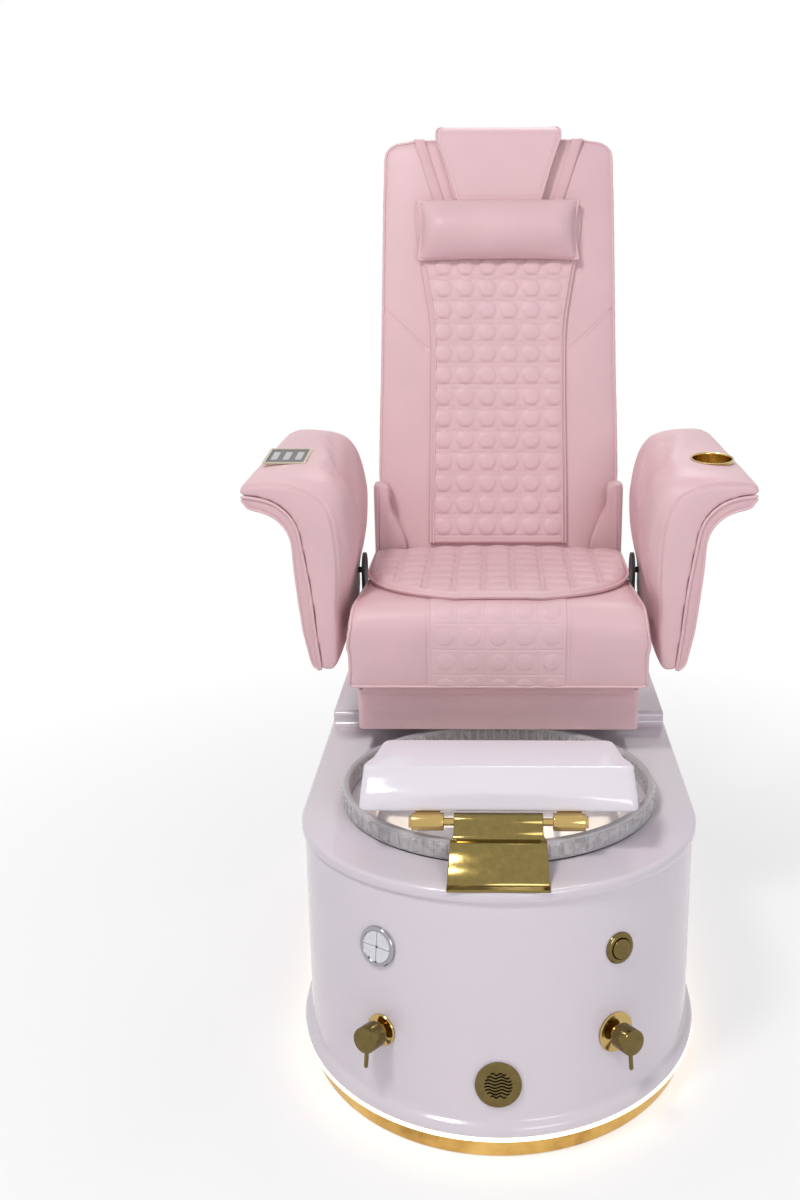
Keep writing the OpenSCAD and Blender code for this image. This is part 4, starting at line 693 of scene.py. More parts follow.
def slab(a, b, rear, z0, z1, r):
    """A plate of the tub's outline with rounded edges."""
    low = [(r * (1 - math.sin(t)), z0 + r * (1 - math.cos(t))) for t in np.radians(np.linspace(0, 90, 5))]
    high = [(i, z1 - (z - z0)) for i, z in reversed(low)]
    return loft([tub_outline(a - i, b - i, rear - i, CORNER - i, z) for i, z in low + high])


print("the outline has", len(drum_outline(100.0)), "points; reach at the floor", round(reach(SKIRT_TOP)))

# %% Plinth, light line and drum
DRUM_WALL, PANEL_HALF, PANEL_LOW, PANEL_HIGH = 8.0, 210.3, 75.7, 296.3
SKIRT = [(42, 9.5), (43.5, 12.2), (47, 13), (52, 12.6), (57, 10.6), (60.5, 7.0), (63, 3.2), (66, 0.9), (71, 0)]

plinth = solid("gold_plinth", slab(322, 335, REAR - 1, 0, KICK_Z, 1.5))
dress(plinth, gold_laminate, "base", ["kick_base"])
strip = solid("light_strip", slab(336, 349, REAR - 1, KICK_Z + 0.2, LED_Z - 0.2, 1.5))
dress(strip, light_line, "base", ["led_strip"])

outside = [(z, out) for z, out in spline(SKIRT, 1.6)] + [(z, 0.0) for z in np.linspace(80, DECK_LOW, 14)]
walls = [drum_outline(z, out) for z, out in outside]
walls += [drum_outline(z, out, DRUM_WALL) for z, out in reversed(outside)]
drum = solid("tub_drum", loft(walls, "joined"))
cut(drum, solid("panel_hole", block(-PANEL_HALF, PANEL_HALF, 400, 460, PANEL_LOW, PANEL_HIGH)))
print("drum and plinth stand", LED_Z - KICK_Z, "mm apart")

# %% Places on the front wall
PAD_X, PAD_Z, TAP_X, TAP_Z, VENT_Z = 183, 300, 178, 170, 121


def wall_y(x, z):
    return -CURVE_Y - reach(z) * math.sqrt(1 - (x / TUB_HALF) ** 2)


def on_wall(x, z):
    """A place on the drum's front: local Z looks out of the wall, local Y is up."""
    dy = wall_y(x, z) + CURVE_Y
    n = Vector((x / TUB_HALF ** 2, dy / reach(z) ** 2, dy * dy * SLOPE / reach(z) ** 3)).normalized()
    return (Matrix.Translation((x, wall_y(x, z), z)) @ Matrix.Rotation(math.atan2(n.y, n.x), 4, "Z")
            @ Matrix.Rotation(math.acos(n.z), 4, "Y") @ Matrix.Rotation(math.pi / 2, 4, "Z"))


pad_place, push_place = on_wall(-PAD_X, PAD_Z), on_wall(PAD_X, PAD_Z)
left_place, mixer_place, vent_place = on_wall(-TAP_X, TAP_Z), on_wall(TAP_X, TAP_Z), on_wall(0, VENT_Z)
for place, r in ((pad_place, 27.3), (push_place, 20.3), (left_place, 14.3), (mixer_place, 14.3), (vent_place, 30.3)):
    cut(drum, solid("wall_hole", turned([(0, -40), (r, -40), (r, 40), (0, 40)], place, 48)))
dress(drum, white_gelcoat, "base", ["tub_shell"], 40)

# %% [markdown]
# ## The deck and its step
# The deck is a thick plate with a full round edge, set a few millimetres proud of the drum. The bowl's
# opening is cut out of it. Behind the bowl it rises in a step with a soft foot and a round nose, which is
# a side view pulled across the tub and trimmed to the tub's outline.

# %% Deck and step
BOWL_Y, RIM_A, RIM_B, OPEN_A, OPEN_B, GLASS = -257.0, 265.0, 240.0, 251.0, 226.0, 12.0
STEP_Y, FOOT_R, NOSE_R = 52.0, 12.0, 10.0


def oval(a, b, z, n=160):
    t = np.linspace(0, 2 * np.pi, n, endpoint=False)
    return at_height(np.stack([a * np.cos(t), BOWL_Y + b * np.sin(t)], 1), z)


deck = solid("tub_deck_top", slab(328, 280, REAR, DECK_LOW, DECK_TOP, 6.0))
cut(deck, solid("bowl_hole", loft([oval(OPEN_A, OPEN_B, z) for z in (380, 430)])))
dress(deck, white_gelcoat, "base", ["tub_deck"], 40)

quarter = np.radians(np.arange(0, 91, 10))
foot = [(STEP_Y + FOOT_R * math.sin(t), DECK_TOP + FOOT_R - FOOT_R * math.cos(t)) for t in quarter]
nose = [(STEP_Y + FOOT_R + NOSE_R - NOSE_R * math.cos(t), STEP_TOP - NOSE_R + NOSE_R * math.sin(t)) for t in quarter]
side_view = [(STEP_Y, DECK_TOP - 4)] + foot + nose + [(REAR + 20, STEP_TOP), (REAR + 20, DECK_TOP - 4)]
step = solid("tub_step", loft([np.array([(x, y, z) for y, z in side_view]) for x in (-400, 400)]))
inside_walls = loft([tub_outline(TUB_HALF, REACH_TOP, REAR, CORNER, z) for z in (400, 442)])
cut(step, solid("step_trim", inside_walls), "INTERSECT")
rounded(step, 3.0, 4, 50)
cut(step, solid("step_hollow", block(-298, 298, 78, 410, 392, 432)))
dress(step, white_gelcoat, "base", ["tub_deck"], 30)

# %% [markdown]
# ## The crystal bowl
# The bowl is one thick piece of clear glass: a basin below the deck, and above it a low wall whose both
# sides are cut in diamonds. The basin is a loft of ovals up the outside and down the inside. The cut
# diamonds repeat round the wall, so a tree places one four-sided facet at each step of an oval.

# %% Glass basin
BOWL_LOW, SHOULDER, BASIN_A, BASIN_B = 236.0, 415.0, 250.7, 225.7
DRAIN_X, DRAIN_R = -55.0, 20.3
BASIN = [(0.02, -0.02), (0.30, 0.0), (0.46, 0.0), (0.60, 0.03), (0.74, 0.11), (0.85, 0.26), (0.92, 0.45),
         (0.97, 0.68), (0.999, 0.985)]


def rim_oval(inset, z):
    return oval(RIM_A - inset, RIM_B - inset, z)


shares = np.clip(spline(BASIN, 0.06), 0.0, 1.0)
glass = [oval(BASIN_A * s, BASIN_B * s, mix(BOWL_LOW, SHOULDER, up)) for s, up in shares if s > 0.04]
glass += [rim_oval(inset, z) for inset, z in (
    (3, SHOULDER + 0.2), (1, SHOULDER + 1.5), (1, RIM - 3.5), (1.6, RIM - 1.2), (4, RIM), (GLASS - 3, RIM),
    (GLASS - 0.6, RIM - 1.2), (GLASS, RIM - 3.5), (GLASS + 1, SHOULDER))]
glass += [oval(BASIN_A * s - GLASS, BASIN_B * s - GLASS, mix(BOWL_LOW + GLASS, SHOULDER - 2, up))
          for s, up in shares[::-1] if s > 0.08]
bowl = solid("crystal_bowl", loft(glass))
drain = turned([(0, 220), (DRAIN_R, 220), (DRAIN_R, 260), (0, 260)], Matrix.Translation((DRAIN_X, BOWL_Y, 0)), 48)
cut(bowl, solid("drain_hole", drain))
dress(bowl, crystal, "base", ["glass_bowl"], 28)

# %% Cut diamonds round the rim
FACET_Z, FACET_TALL, CUT_DEPTH = 0.4315, 0.0275, 0.0028
facet_tree, given, last = new_tree("cut_diamonds", {
    "Half width": 0.265, "Half length": 0.24, "Count": 96, "Height": 0.43, "Facet width": 0.017, "Facet height": 0.016,
    "Cut depth": 0.002, "Flat share": 0.5, "Outwards": 1.0, "Glass": None})


def vector_sum(operation, first, second):
    return wire(facet_tree, "ShaderNodeVectorMath", {0: first, 1: second}, operation=operation)[0]


circle = wire(facet_tree, "GeometryNodeMeshCircle", {"Vertices": given["Count"], "Radius": 1.0})
stretch = wire(facet_tree, "ShaderNodeCombineXYZ", {"X": given["Half width"], "Y": given["Half length"], "Z": 1.0})[0]
lift = wire(facet_tree, "ShaderNodeCombineXYZ", {"Z": given["Height"], "Y": BOWL_Y * 0.001})[0]
ring = wire(facet_tree, "GeometryNodeTransform", {"Geometry": circle["Mesh"], "Scale": stretch, "Translation": lift})
spoke = vector_sum("SUBTRACT", wire(facet_tree, "GeometryNodeInputPosition")[0], lift)
square_out = vector_sum("DIVIDE", vector_sum("DIVIDE", spoke, stretch), stretch)
outwards = wire(facet_tree, "ShaderNodeVectorMath", {0: square_out, "Scale": given["Outwards"]}, operation="SCALE")
facing = wire(facet_tree, "FunctionNodeAxesToRotation", {"Primary Axis": outwards[0], "Secondary Axis": (0, 0, 1)},
              primary_axis="Z", secondary_axis="Y")
cone = wire(facet_tree, "GeometryNodeMeshCone", {"Radius Top": given["Flat share"], "Vertices": 4,
                                                 "Radius Bottom": 0.7071, "Depth": 1.0})
facet = wire(facet_tree, "GeometryNodeTransform", {"Geometry": cone["Mesh"], "Rotation": (0, 0, math.pi / 4)})
facet_size = wire(facet_tree, "ShaderNodeCombineXYZ", {"X": given["Facet width"], "Y": given["Facet height"],
                                                       "Z": given["Cut depth"]})
set_in = wire(facet_tree, "GeometryNodeInstanceOnPoints", {
    "Points": ring["Geometry"], "Instance": facet["Geometry"], "Rotation": facing[0], "Scale": facet_size[0]})
finish_tree(facet_tree, last, set_in, given["Glass"])

f = Finish("cut_crystal")
# painted sparkle: cell by cell the colour goes from grey to white, standing in for glints and dark refractions in the
# cut glass
painted_sparkle = f.add("ShaderNodeTexVoronoi", None, {"Vector": f.place(), "Scale": 110.0})[1]
cut_crystal = f.skin(Base_Color=f.tint(painted_sparkle * 1.4 - 0.1, (0.74, 0.70, 0.70), WHITE),
                     Roughness=painted_sparkle * 0.05 + 0.01, Transmission_Weight=0.68, IOR=1.50)
rows = []
for side, inset, count, wide, flat in ((1.0, 1.4, 76, 0.0205, 0.50), (-1.0, GLASS - 0.4, 104, 0.0142, 0.12)):
    rows.append(grow(solid("facets", block(0, 1, 0, 1, 0, 1)), facet_tree, {
        "Half width": (RIM_A - inset) * 0.001, "Half length": (RIM_B - inset) * 0.001, "Count": count,
        "Height": FACET_Z, "Facet width": wide, "Facet height": FACET_TALL, "Cut depth": CUT_DEPTH,
        "Flat share": flat, "Outwards": side, "Glass": cut_crystal}))
with bpy.context.temp_override(active_object=rows[0], selected_editable_objects=rows, selected_objects=rows):
    bpy.ops.object.join()
facets = rows[0]
facets.name = "crystal_facets"
dress(facets, cut_crystal, "base", angle=1)

# %% [markdown]
# ## Footrest
# Over the bowl lies a white footrest: a block with a wide foot in front and a narrower top. A broad soft
# chamfer sweeps along its front, lowest at the two corners. It turns on a gold rod, whose bracket is one
# thick brass strip bent over the rim in a long S and screwed flat on the deck.

# %% Footrest block
HINGE_Y, HINGE_Z, REST_Z, REST_H, REST_DEPTH, CHAMFER = -473.0, 474.0, 488.0, 58.0, 160.0, 36.0
REST_FRONT, REST_REAR, REST_TAPER = 430.0, 372.0, 36.0
REST_Y = HINGE_Y + 5


def rest_outline(t, inset):
    """The block's outline at a share of its height, with the front chamfer's arc."""
    wf, wb = REST_FRONT - 12 * t - 2 * inset, mix(REST_REAR + REST_TAPER, REST_REAR, t) - 2 * inset
    y0, y1, r = REST_Y + inset, REST_Y + REST_DEPTH - 14 * t - inset, 12 - 0.6 * inset
    ring = round_corners(((-wf / 2 + r, y0 + r), (wf / 2 - r, y0 + r), (wb / 2 - r, y1 - r), (-wb / 2 + r, y1 - r)),
                         r, 9)
    out = []
    for a, b in zip(ring, np.roll(ring, -1, 0)):
        steps = 12 if math.dist(a, b) > 60 else 1
        for k in range(steps):
            x, y = mix(a, b, k / steps)
            front = ease((REST_Y + 90 - y) / 80)
            bend = 0.50 - 0.36 * (x / 215) ** 2
            back = ease((t - bend) / (1 - bend) * 0.98 + 0.02) if t > bend else 0.0
            out.append((x, y + CHAMFER * front * (0.16 * t + 0.84 * back), REST_Z + REST_H * t))
    return np.array(out)


levels = [(0, 4.5), (0.012, 2.4), (0.035, 0.9), (0.07, 0.2), (0.12, 0)] + [(t, 0.0) for t in np.linspace(0.16, 0.93, 20)]
levels += [(0.955, 0.4), (0.975, 1.2), (0.99, 2.6), (1.0, 5.0)]
footrest = solid("footrest_block", loft([rest_outline(t, inset) for t, inset in levels]))
dress(footrest, white_gloss, "footrest", ["footrest_pad"], 60)

# %% Brass band, rod ends and knuckles
HOOK_R, BAND_HALF = 12.0, 68.0
BAND = [(-486.5, 466), (-489.5, 459), (-495, 454.5), (-505, 452.6), (-517, 448), (-529, 438.5), (-541, 427),
        (-553, 418.5), (-563, 415.2), (-577, 415)]


def flat_section(w, corner):
    """A flat strap's section of half width w, round from one corner, given as [step in, height]."""
    one = [(w - a, b) for a, b in corner]
    half = one + [(-x, d) for x, d in reversed(one)]
    return half + [(-x, -d) for x, d in half]


hook = [(HINGE_Y + HOOK_R * math.cos(t), HINGE_Z + HOOK_R * math.sin(t)) for t in np.radians(range(-60, 181, 20))]
line = spline(hook + BAND, 3.0)
band_rings = []
for (y, z), (ny, nz), s in zip(line, -beside(line), np.linspace(0, 1, len(line))):
    w = BAND_HALF + 5.5 * ease((-y - 486) / 12) + 3 * ease((-y - 500) / 70)
    edge = flat_section(w, ((0, 0.9), (0.7, 1.7), (1.8, 2.0)))
    band_rings.append(np.array([(x, y + ny * d, z + nz * d) for x, d in edge]))
dress(solid("brass_band", loft(band_rings)), brass_dim_reflection, "base", ["footrest_bracket"], 50)
for side, lo, hi in (("left", -133, -83), ("right", 83, 133)):
    along = Matrix.Translation((0, HINGE_Y, HINGE_Z)) @ Matrix.Rotation(math.pi / 2, 4, "Y")
    barrel = turned([(6.2, lo), (12.3, lo), (13.5, lo + 1.2), (13.5, hi - 1.2), (12.3, hi), (6.2, hi)], along, 64)
    cheek = block(lo + 6, hi - 6, HINGE_Y - 7, HINGE_Y + 9, HINGE_Z + 4, REST_Z + 0.4)
    knuckle = rounded(solid("knuckle_" + side, join(barrel, cheek)), 0.6, 2, 40)
    dress(knuckle, polished_brass, "footrest", ["footrest_knuckles"], 40)

# %% [markdown]
# ## Fittings on the front wall
# The pad, the push button, the two taps and the vent are turned on a lathe, so each is a profile turned
# round its own axis and set on the wall. A small round on each rim matters more than it seems: it is the
# round that catches the light and makes metal look like metal.

# %% Turned fittings
def fitting(name, profile, place, finish, body, nodes):
    return dress(solid(name, turned(profile, place, 72)), finish, body, nodes, 32)


fitting("pad_ring", [(0, -6.2), (24.9, -6.2), (24.9, 3.2), (25.6, 4.4), (27.2, 5.3), (29.2, 5.2), (30.9, 4.2),
                     (31.9, 2.4), (32, 0.5), (27, 0.4), (27, -23), (0, -23)],
        pad_place, dark_chrome, "base", ["pad_bezel"])
for letter in "abcd":
    low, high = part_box("pad_button_" + letter)
    spot = pad_place.inverted() @ (Vector(low) + Vector(high)) * 500
    button = surface_of(bpy.data.objects["pad_button_" + letter])
    spot = Vector(lay_on([pad_place @ Vector((spot.x, spot.y, 30))], button)[0])
    mark = turned([(0, -0.4), (2.0, -0.4), (2.1, 0.3), (1.7, 0.7), (0, 0.8)],
                  pad_place @ Matrix.Translation(pad_place.inverted() @ spot), 20)
    dress(solid("pad_mark_" + letter, mark), slate_plastic, "pad_key_" + letter, angle=32)
fitting("push_ring", [(0, -14.5), (16.4, -14.5), (16.4, 3.4), (17.2, 4.6), (18.6, 5.0), (21.5, 4.4), (24, 2.6),
                      (25, 0.9), (25, 0.5), (20, 0.4), (20, -29), (0, -29)],
        push_place, brass_dark_reflection, "base", ["push_bezel"])
fitting("push_cap", [(0, -9.4), (15.8, -9.4), (15.9, 5.2), (15.2, 6.6), (13.6, 7.2), (8, 7.0), (0, 6.7)],
        push_place, brass_dark_reflection, "push_key", ["push_button"])
for name, place, r in (("left", left_place, 25), ("mixer", mixer_place, 31)):
    fitting(name + "_rosette", [(5.1, -50), (14, -50), (14, 0.4), (r - 0.6, 0.5), (r, 1.2), (r, 2.9), (r - 1.2, 4.2),
                                (14.2, 4.6), (12.4, 5.6), (12, 13.6), (11.4, 14.2), (5.1, 14.2)],
            place, polished_brass, "base", [name + "_valve"])
    knob = turned([(0, -17), (4.95, -17), (4.95, 14.6), (19, 14.6), (20, 15.8), (20, 43.0), (19.4, 44.1),
                   (18.3, 44.5), (0, 44.5)], place, 72)
    lever = tube(put([(0, -16, 35), (0, -30, 35), (0, -45, 35)], place), 3.4, 16)
    dress(solid(name + "_handle", join(knob, lever)), brass_dark_reflection, name + "_tap", [name + "_knob"], 32)

# %% Wavy vent
WAVES, WAVE_PITCH, WAVE_FIELD, WAVE_HALF = 8, 5.0, 21.0, 1.3
plate = solid("vent_plate", turned([(0, 0.5), (30, 0.4), (34, 0.5), (35, 1.3), (35, 3.0), (34.2, 4.1), (32.6, 4.5),
                                    (0, 4.6)], vent_place, 96))
slots = []
for y in (np.arange(WAVES) - (WAVES - 1) / 2) * WAVE_PITCH:
    t = np.linspace(-1, 1, 33)
    mid = np.stack([t * math.sqrt(WAVE_FIELD ** 2 - y * y), y + 1.5 * np.sin(2 * np.pi * (t + 1))], 1)
    ring = np.vstack([mid - (0, WAVE_HALF), (mid + (0, WAVE_HALF))[::-1]])
    slots.append(placed(loft([at_height(ring, z) for z in (-6, 9)]), vent_place))
cut(plate, solid("slots", join(*slots)))
rounded(plate, 0.3, 2, 50)
dress(plate, brass_dark_reflection, "base", ["vent_grille"], 30)
well = [(0, -15), (29.6, -15), (29.6, 0.2), (28, 0.2), (28, -13.6), (0, -13.6)]
dress(solid("vent_well", turned(well, vent_place, 48)), black_plastic, "base", ["vent_grille"], 30)

# %% [markdown]
# ## Blowing up the cushions
# A foam cushion is a sewn cover pulled tight by what is in it. The cover is a closed mesh of even small
# faces, made by a voxel remesh. Where it is sewn, or rests on a board, its points are pinned. A cloth
# simulation with air pressure then swells the panels between the seams. All the cushions wait for one
# run, because Blender works on them side by side.

# %% Cushions that wait for air
waiting = {}


def cushion(name, part, voxel, pins, cap, pressure):
    """Remeshes a form and gives it Cloth; pins is a function from points in mm to weights from 0 to 1."""
    obj = solid(name, part)
    remesh = obj.modifiers.new("even", "REMESH")
    remesh.mode, remesh.voxel_size = "VOXEL", voxel * 0.001
    settle(obj)
    co = points_of(obj)
    held = np.clip(pins(co), 0, 1)
    group = obj.vertex_groups.new(name="held")
    for level in np.unique(np.round(held, 1)):
        if level > 0:
            group.add(np.nonzero(np.round(held, 1) == level)[0].tolist(), float(level), "REPLACE")
    cloth = obj.modifiers.new("air", "CLOTH")
    s = cloth.settings
    s.quality, s.mass, s.tension_stiffness, s.compression_stiffness = 4, 0.35, 12, 12
    s.shear_stiffness, s.bending_stiffness, s.air_damping = 8, 1.2, 2
    s.use_pressure, s.uniform_pressure_force = True, pressure
    s.effector_weights.gravity = 0
    s.vertex_group_mass, s.pin_stiffness = "held", 2
    cloth.point_cache.frame_start, cloth.point_cache.frame_end = 1, 20
    waiting[name] = (obj, co, cap)
    print(f"{name}: {len(co)} points, {int((held > 0.5).sum())} held")
    return obj


def points_of(obj):
    co = np.empty(len(obj.data.vertices) * 3)
    obj.data.vertices.foreach_get("co", co)
    return co.reshape(-1, 3) * 1000


def set_points(obj, co):
    obj.data.vertices.foreach_set("co", (np.asarray(co) * 0.001).ravel())
    obj.data.update()


def blow_up():
    """Steps the simulation, caps how far each point moved, and makes plain meshes."""
    for number in range(1, 21):
        bpy.context.scene.frame_set(number)
    for name, (obj, start, cap) in waiting.items():
        settle(obj)
        move = points_of(obj) - start
        far = np.linalg.norm(move, axis=1)
        move *= np.where(far > cap, cap / np.maximum(far, 1e-6), 1.0)[:, None]
        set_points(obj, start + move)
        smooth = obj.modifiers.new("ease", "SMOOTH")
        smooth.factor, smooth.iterations = 0.5, 3
        fine = obj.modifiers.new("fine", "SUBSURF")
        fine.levels = fine.render_levels = 1
        settle(obj)
        print(f"{name}: moved up to {far.max():.1f} mm, kept to {cap}; {len(obj.data.polygons)} faces")
    bpy.context.scene.frame_set(1)


def near(co, line, r):
    """1 on a line, falling to 0 at distance r."""
    line = np.asarray(line, float)
    best = np.full(len(co), 1e9)
    for k in range(0, len(line), 40):
        part = line[k:k + 40]
        best = np.minimum(best, (((co[:, None, :] - part[None]) ** 2).sum(2)).min(1))
    return np.clip(1 - np.sqrt(best) / r, 0, 1)


def groove(obj, lines, width, depth):
    """Presses the surface in along lines, as a sewn seam does."""
    co = points_of(obj)
    normals = np.array([v.normal for v in obj.data.vertices])
    for line in lines:
        line = even(line, 2.5)
        lo, hi = line.min(0) - 3 * width, line.max(0) + 3 * width
        some = np.nonzero(((co > lo) & (co < hi)).all(1))[0]
        if len(some):
            pull = near(co[some], line, 2.2 * width)
            co[some] -= normals[some] * (depth * ease(pull))[:, None]
    set_points(obj, co)


print("cushion tools are ready")

# %% [markdown]
# ## The seat
# The seat cushion is wide in front and narrower behind, with a big round front edge. Piping runs up the
# two side edges and back along the top. Double seams divide off a middle panel. A thin pad of its own,
# quilted in circles, is laid on that panel's front, and on top lies a quilted pad with a round front.

# %% Seat cushion form
SEAT_FRONT, SEAT_LEN, SEAT_LOW, SEAT_TOP, CROWN, NOSE = -122.0, 412.0, 558.0, 713.0, 8.0, 46.0


def seat_half(y):
    return mix(542.0, 480.0, (y - SEAT_FRONT) / SEAT_LEN) / 2


def seat_section(y, low, top, pull):
    w, r, h = seat_half(y) - pull, 24.0, top - low
    turn = np.radians(np.linspace(180, 90, 7))
    up = np.linspace(0.02, 0.98, 27)
    left = [(-w + 6, low), (-w + 1.5, low + 6), (-w + 3.5, low + 0.25 * h), (-w + 3.5, low + 0.5 * h)]
    left += [(-w + r + r * math.cos(t), top - r + r * math.sin(t)) for t in turn]
    crown = CROWN * round_end(h / 155)
    middle = [(mix(-w + r, w - r, t), top + crown * math.sin(math.pi * t)) for t in up]
    flat = left + middle + [(-x, z) for x, z in reversed(left)]
    return np.array([(x, y, z) for x, z in flat])


NOSE_LOW, UNDERSIDE = SEAT_TOP - CROWN - NOSE, SEAT_LOW + 0.4
rings = [seat_section(SEAT_FRONT + 1, SEAT_LOW + 5, NOSE_LOW - 10, 5)]
rings += [seat_section(SEAT_FRONT + NOSE - NOSE * math.cos(t) + 1, UNDERSIDE, NOSE_LOW + NOSE * math.sin(t), 1.5)
          for t in np.radians(np.linspace(0, 90, 12))]
rings += [seat_section(SEAT_FRONT + SEAT_LEN * t, UNDERSIDE, SEAT_TOP - CROWN, 1.0) for t in np.linspace(0.2, 0.95, 14)]
rings += [seat_section(SEAT_FRONT + SEAT_LEN - 7, UNDERSIDE, SEAT_TOP - CROWN - 3, 3),
          seat_section(SEAT_FRONT + SEAT_LEN, SEAT_LOW + 8, SEAT_TOP - CROWN - 12, 8)]
seat_form = loft(rings)


def seat_profile(s):
    """The front face, nose and top as one line: distance s along it gives y and z."""
    face = NOSE_LOW - SEAT_LOW
    if s < face:
        return SEAT_FRONT, SEAT_LOW + s
    bend = NOSE * math.pi / 2
    if s < face + bend:
        a = (s - face) / NOSE
        return SEAT_FRONT + NOSE - NOSE * math.cos(a), NOSE_LOW + NOSE * math.sin(a)
    return SEAT_FRONT + NOSE + s - face - bend, SEAT_TOP - CROWN


edge = []
for s in np.linspace(4, 101 + NOSE * math.pi / 2 + 355, 90):
    y, z = seat_profile(s)
    edge.append((seat_half(y) - 2.5 - 6.5 * ease((s - 70) / 70), y, z - 7.0 * ease((s - 60) / 80)))
side_edges = [np.array(edge), np.array(edge) * (-1, 1, 1)]
front_edge = np.array([(x, SEAT_FRONT + 1, SEAT_LOW + 3) for x in np.linspace(-266, 266, 120)])
panel_lines = [np.array([(x, *seat_profile(s)) for s in np.linspace(2, 230, 60)]) for x in (-124.0, 124.0)]


def seat_pins(co):
    x, y, z = co.T
    held = np.maximum(near(co, side_edges[0], 9), near(co, side_edges[1], 9)) * 1.6
    held = np.maximum(held, 1.5 * np.maximum(near(co, panel_lines[0], 9), near(co, panel_lines[1], 9)))
    held = np.maximum(held, (z < SEAT_LOW + 5) * 1.0)
    under = (z > 695) & (y > -55) & (np.abs(x) < 215)
    return np.maximum(held, np.maximum(under * 0.9, (y > 270) * 1.0))


seat_cover = cushion("seat_cover", seat_form, 7.0, seat_pins, 9.0, 3.5)

# %% [markdown]
# ## The backrest
# The backrest leans 15 degrees back, so it is modelled upright in its own frame, X across, Z up along the
# lean and Y into it, and turned at the end. It is narrow at its foot, widest above the armrests and a
# little narrower at the top. Piping follows its front edge, and a diagonal seam crosses each side.

# %% Backrest form
LEAN = Matrix.Translation((0, 306, SEAT_TOP)) @ Matrix.Rotation(math.radians(-15), 4, "X")
BACK_LEN, WAIST, BACK_R = 841.0, 150.0, 34.0
BACK_FOOT_WIDE, BACK_WIDE, BACK_TOP_WIDE = 400.0, 500.0, 476.0
BEND = BACK_LEN - BACK_R


def back_half(u):
    u = np.asarray(u, float)
    upper = mix(BACK_WIDE, BACK_TOP_WIDE, (u - WAIST) / (BACK_LEN - WAIST))
    w = np.where(u < WAIST, mix(BACK_FOOT_WIDE, BACK_WIDE, ease(u / WAIST)), upper)
    c = np.maximum(0.0, u - BACK_LEN + BACK_R)
    return w / 2 - BACK_R + np.sqrt(np.maximum(0.0, BACK_R ** 2 - c * c))


def back_section(u, pull):
    w = float(back_half(u)) - pull
    s = np.linspace(-1, 1, 41)
    front = [(w * k, 1.0 + 9.0 * abs(k) ** 5 + (3.0 if abs(k) == 1 else 0.0) + 0.6 * pull) for k in s]
    side = [(w + 0.5, 20), (w + 0.5, 34), (w - 1.5, 52), (w - 1, 66), (w - 3, 72), (w - 7, 74.6)]
    flat = front + side + [(-x, v) for x, v in reversed(side)]
    return put(np.array([(x, v, u) for x, v in flat]), LEAN)


rings = [back_section(-40, 10), back_section(-36, 4), back_section(-26, 0)]
rings += [back_section(u, 0) for u in np.linspace(-10, BEND - 10, 48)]
rings += [back_section(BEND + BACK_R * math.sin(t), 7 * (1 - math.cos(t)))
          for t in np.radians((0, 18, 35, 50, 63, 74, 82))]
rings += [back_section(BACK_LEN, 12)]
back_form = loft(rings)


def edge_round(inset, v):
    """The backrest's front outline, up one side, across the top and down the other."""
    r, middle = BACK_R - inset, float(back_half(BEND)) - BACK_R
    up = [(float(back_half(u)) - inset, u) for u in np.linspace(-20, BEND, 80)]
    bend = [(middle + r * math.cos(t), BEND + r * math.sin(t)) for t in np.radians(np.linspace(8, 82, 9))]
    over = [(x, BACK_LEN - inset) for x in np.linspace(200, 0, 30)]
    half = up + bend + over
    line = half + [(-x, u) for x, u in reversed(half[:-1])]
    return put(even(np.array([(x, v, u) for x, u in line]), 6.0), LEAN)


def mat_half(u):
    return np.where(u < 420, mix(284.0, 276.0, ease(u / 400)), mix(276.0, 340.0, ease((u - 420) / 270))) / 2


back_edge = edge_round(2.5, 10.5)
rear_edge = edge_round(1.5, 73.0)
SLANT_TOP, SLANT_FOOT = np.array([243.0, 12, 500]), np.array([150.0, 2, 412])
slants = [put([mix(SLANT_TOP, SLANT_FOOT, t) * (side, 1, 1) for t in np.linspace(0, 1, 30)], LEAN) for side in (-1, 1)]
BACK_IN = np.array(LEAN.inverted())


def in_back(co):
    return co @ BACK_IN[:3, :3].T + BACK_IN[:3, 3]


def back_pins(co):
    x, v, u = in_back(co).T
    held = np.maximum(near(co, back_edge, 9) * 1.6, near(co, rear_edge, 9) * 1.4)
    for line in slants:
        held = np.maximum(held, near(co, line, 8) * 1.3)
    mat = (np.abs(x) < mat_half(u) - 6) & (u < 704) & (u > 0) & (v < 20)
    flap = (np.abs(x) < 100) & (u > 700) & (v < 20)
    return np.maximum(held, (mat | flap | (v > 66) | (u < -25)) * 1.0)


back_pad = cushion("back_pad", back_form, 7.5, back_pins, 10.0, 3.5)

# %% [markdown]
# ## Pillow
# The pillow is a small sewn bag: two panels joined by a flat piped edge. Its sides draw in between the
# corners, because the filling pulls them. Pinned at that edge, the panels swell by themselves.

# %% Pillow form
PILLOW_LOW, PILLOW_TALL, PILLOW_WIDE, PILLOW_WAIST, PILLOW_V = 590, 122, 332, 14, -16.8


def pillow_half(t):
    return (PILLOW_WIDE - PILLOW_WAIST * math.sin(math.pi * t)) / 2


def pillow_section(t):
    u = PILLOW_LOW + PILLOW_TALL * t
    w = pillow_half(t) - 1
    thick = 4 + 38 * math.sin(math.pi * mix(0.03, 0.97, t))
    s = np.linspace(-1, 1, 33)
    front = [(w * k, -18 - thick * float(round_end(3.4 * (1 - abs(k)))), u) for k in s]
    rear = [(w * k, -14.6 + 0.7 * k * k - 1.5 * (1 - k * k), u) for k in s[::-1]]
    return put(np.array(front + rear), LEAN)


pillow_form = loft([pillow_section(t) for t in 0.5 - 0.5 * np.cos(np.linspace(0, np.pi, 21))])


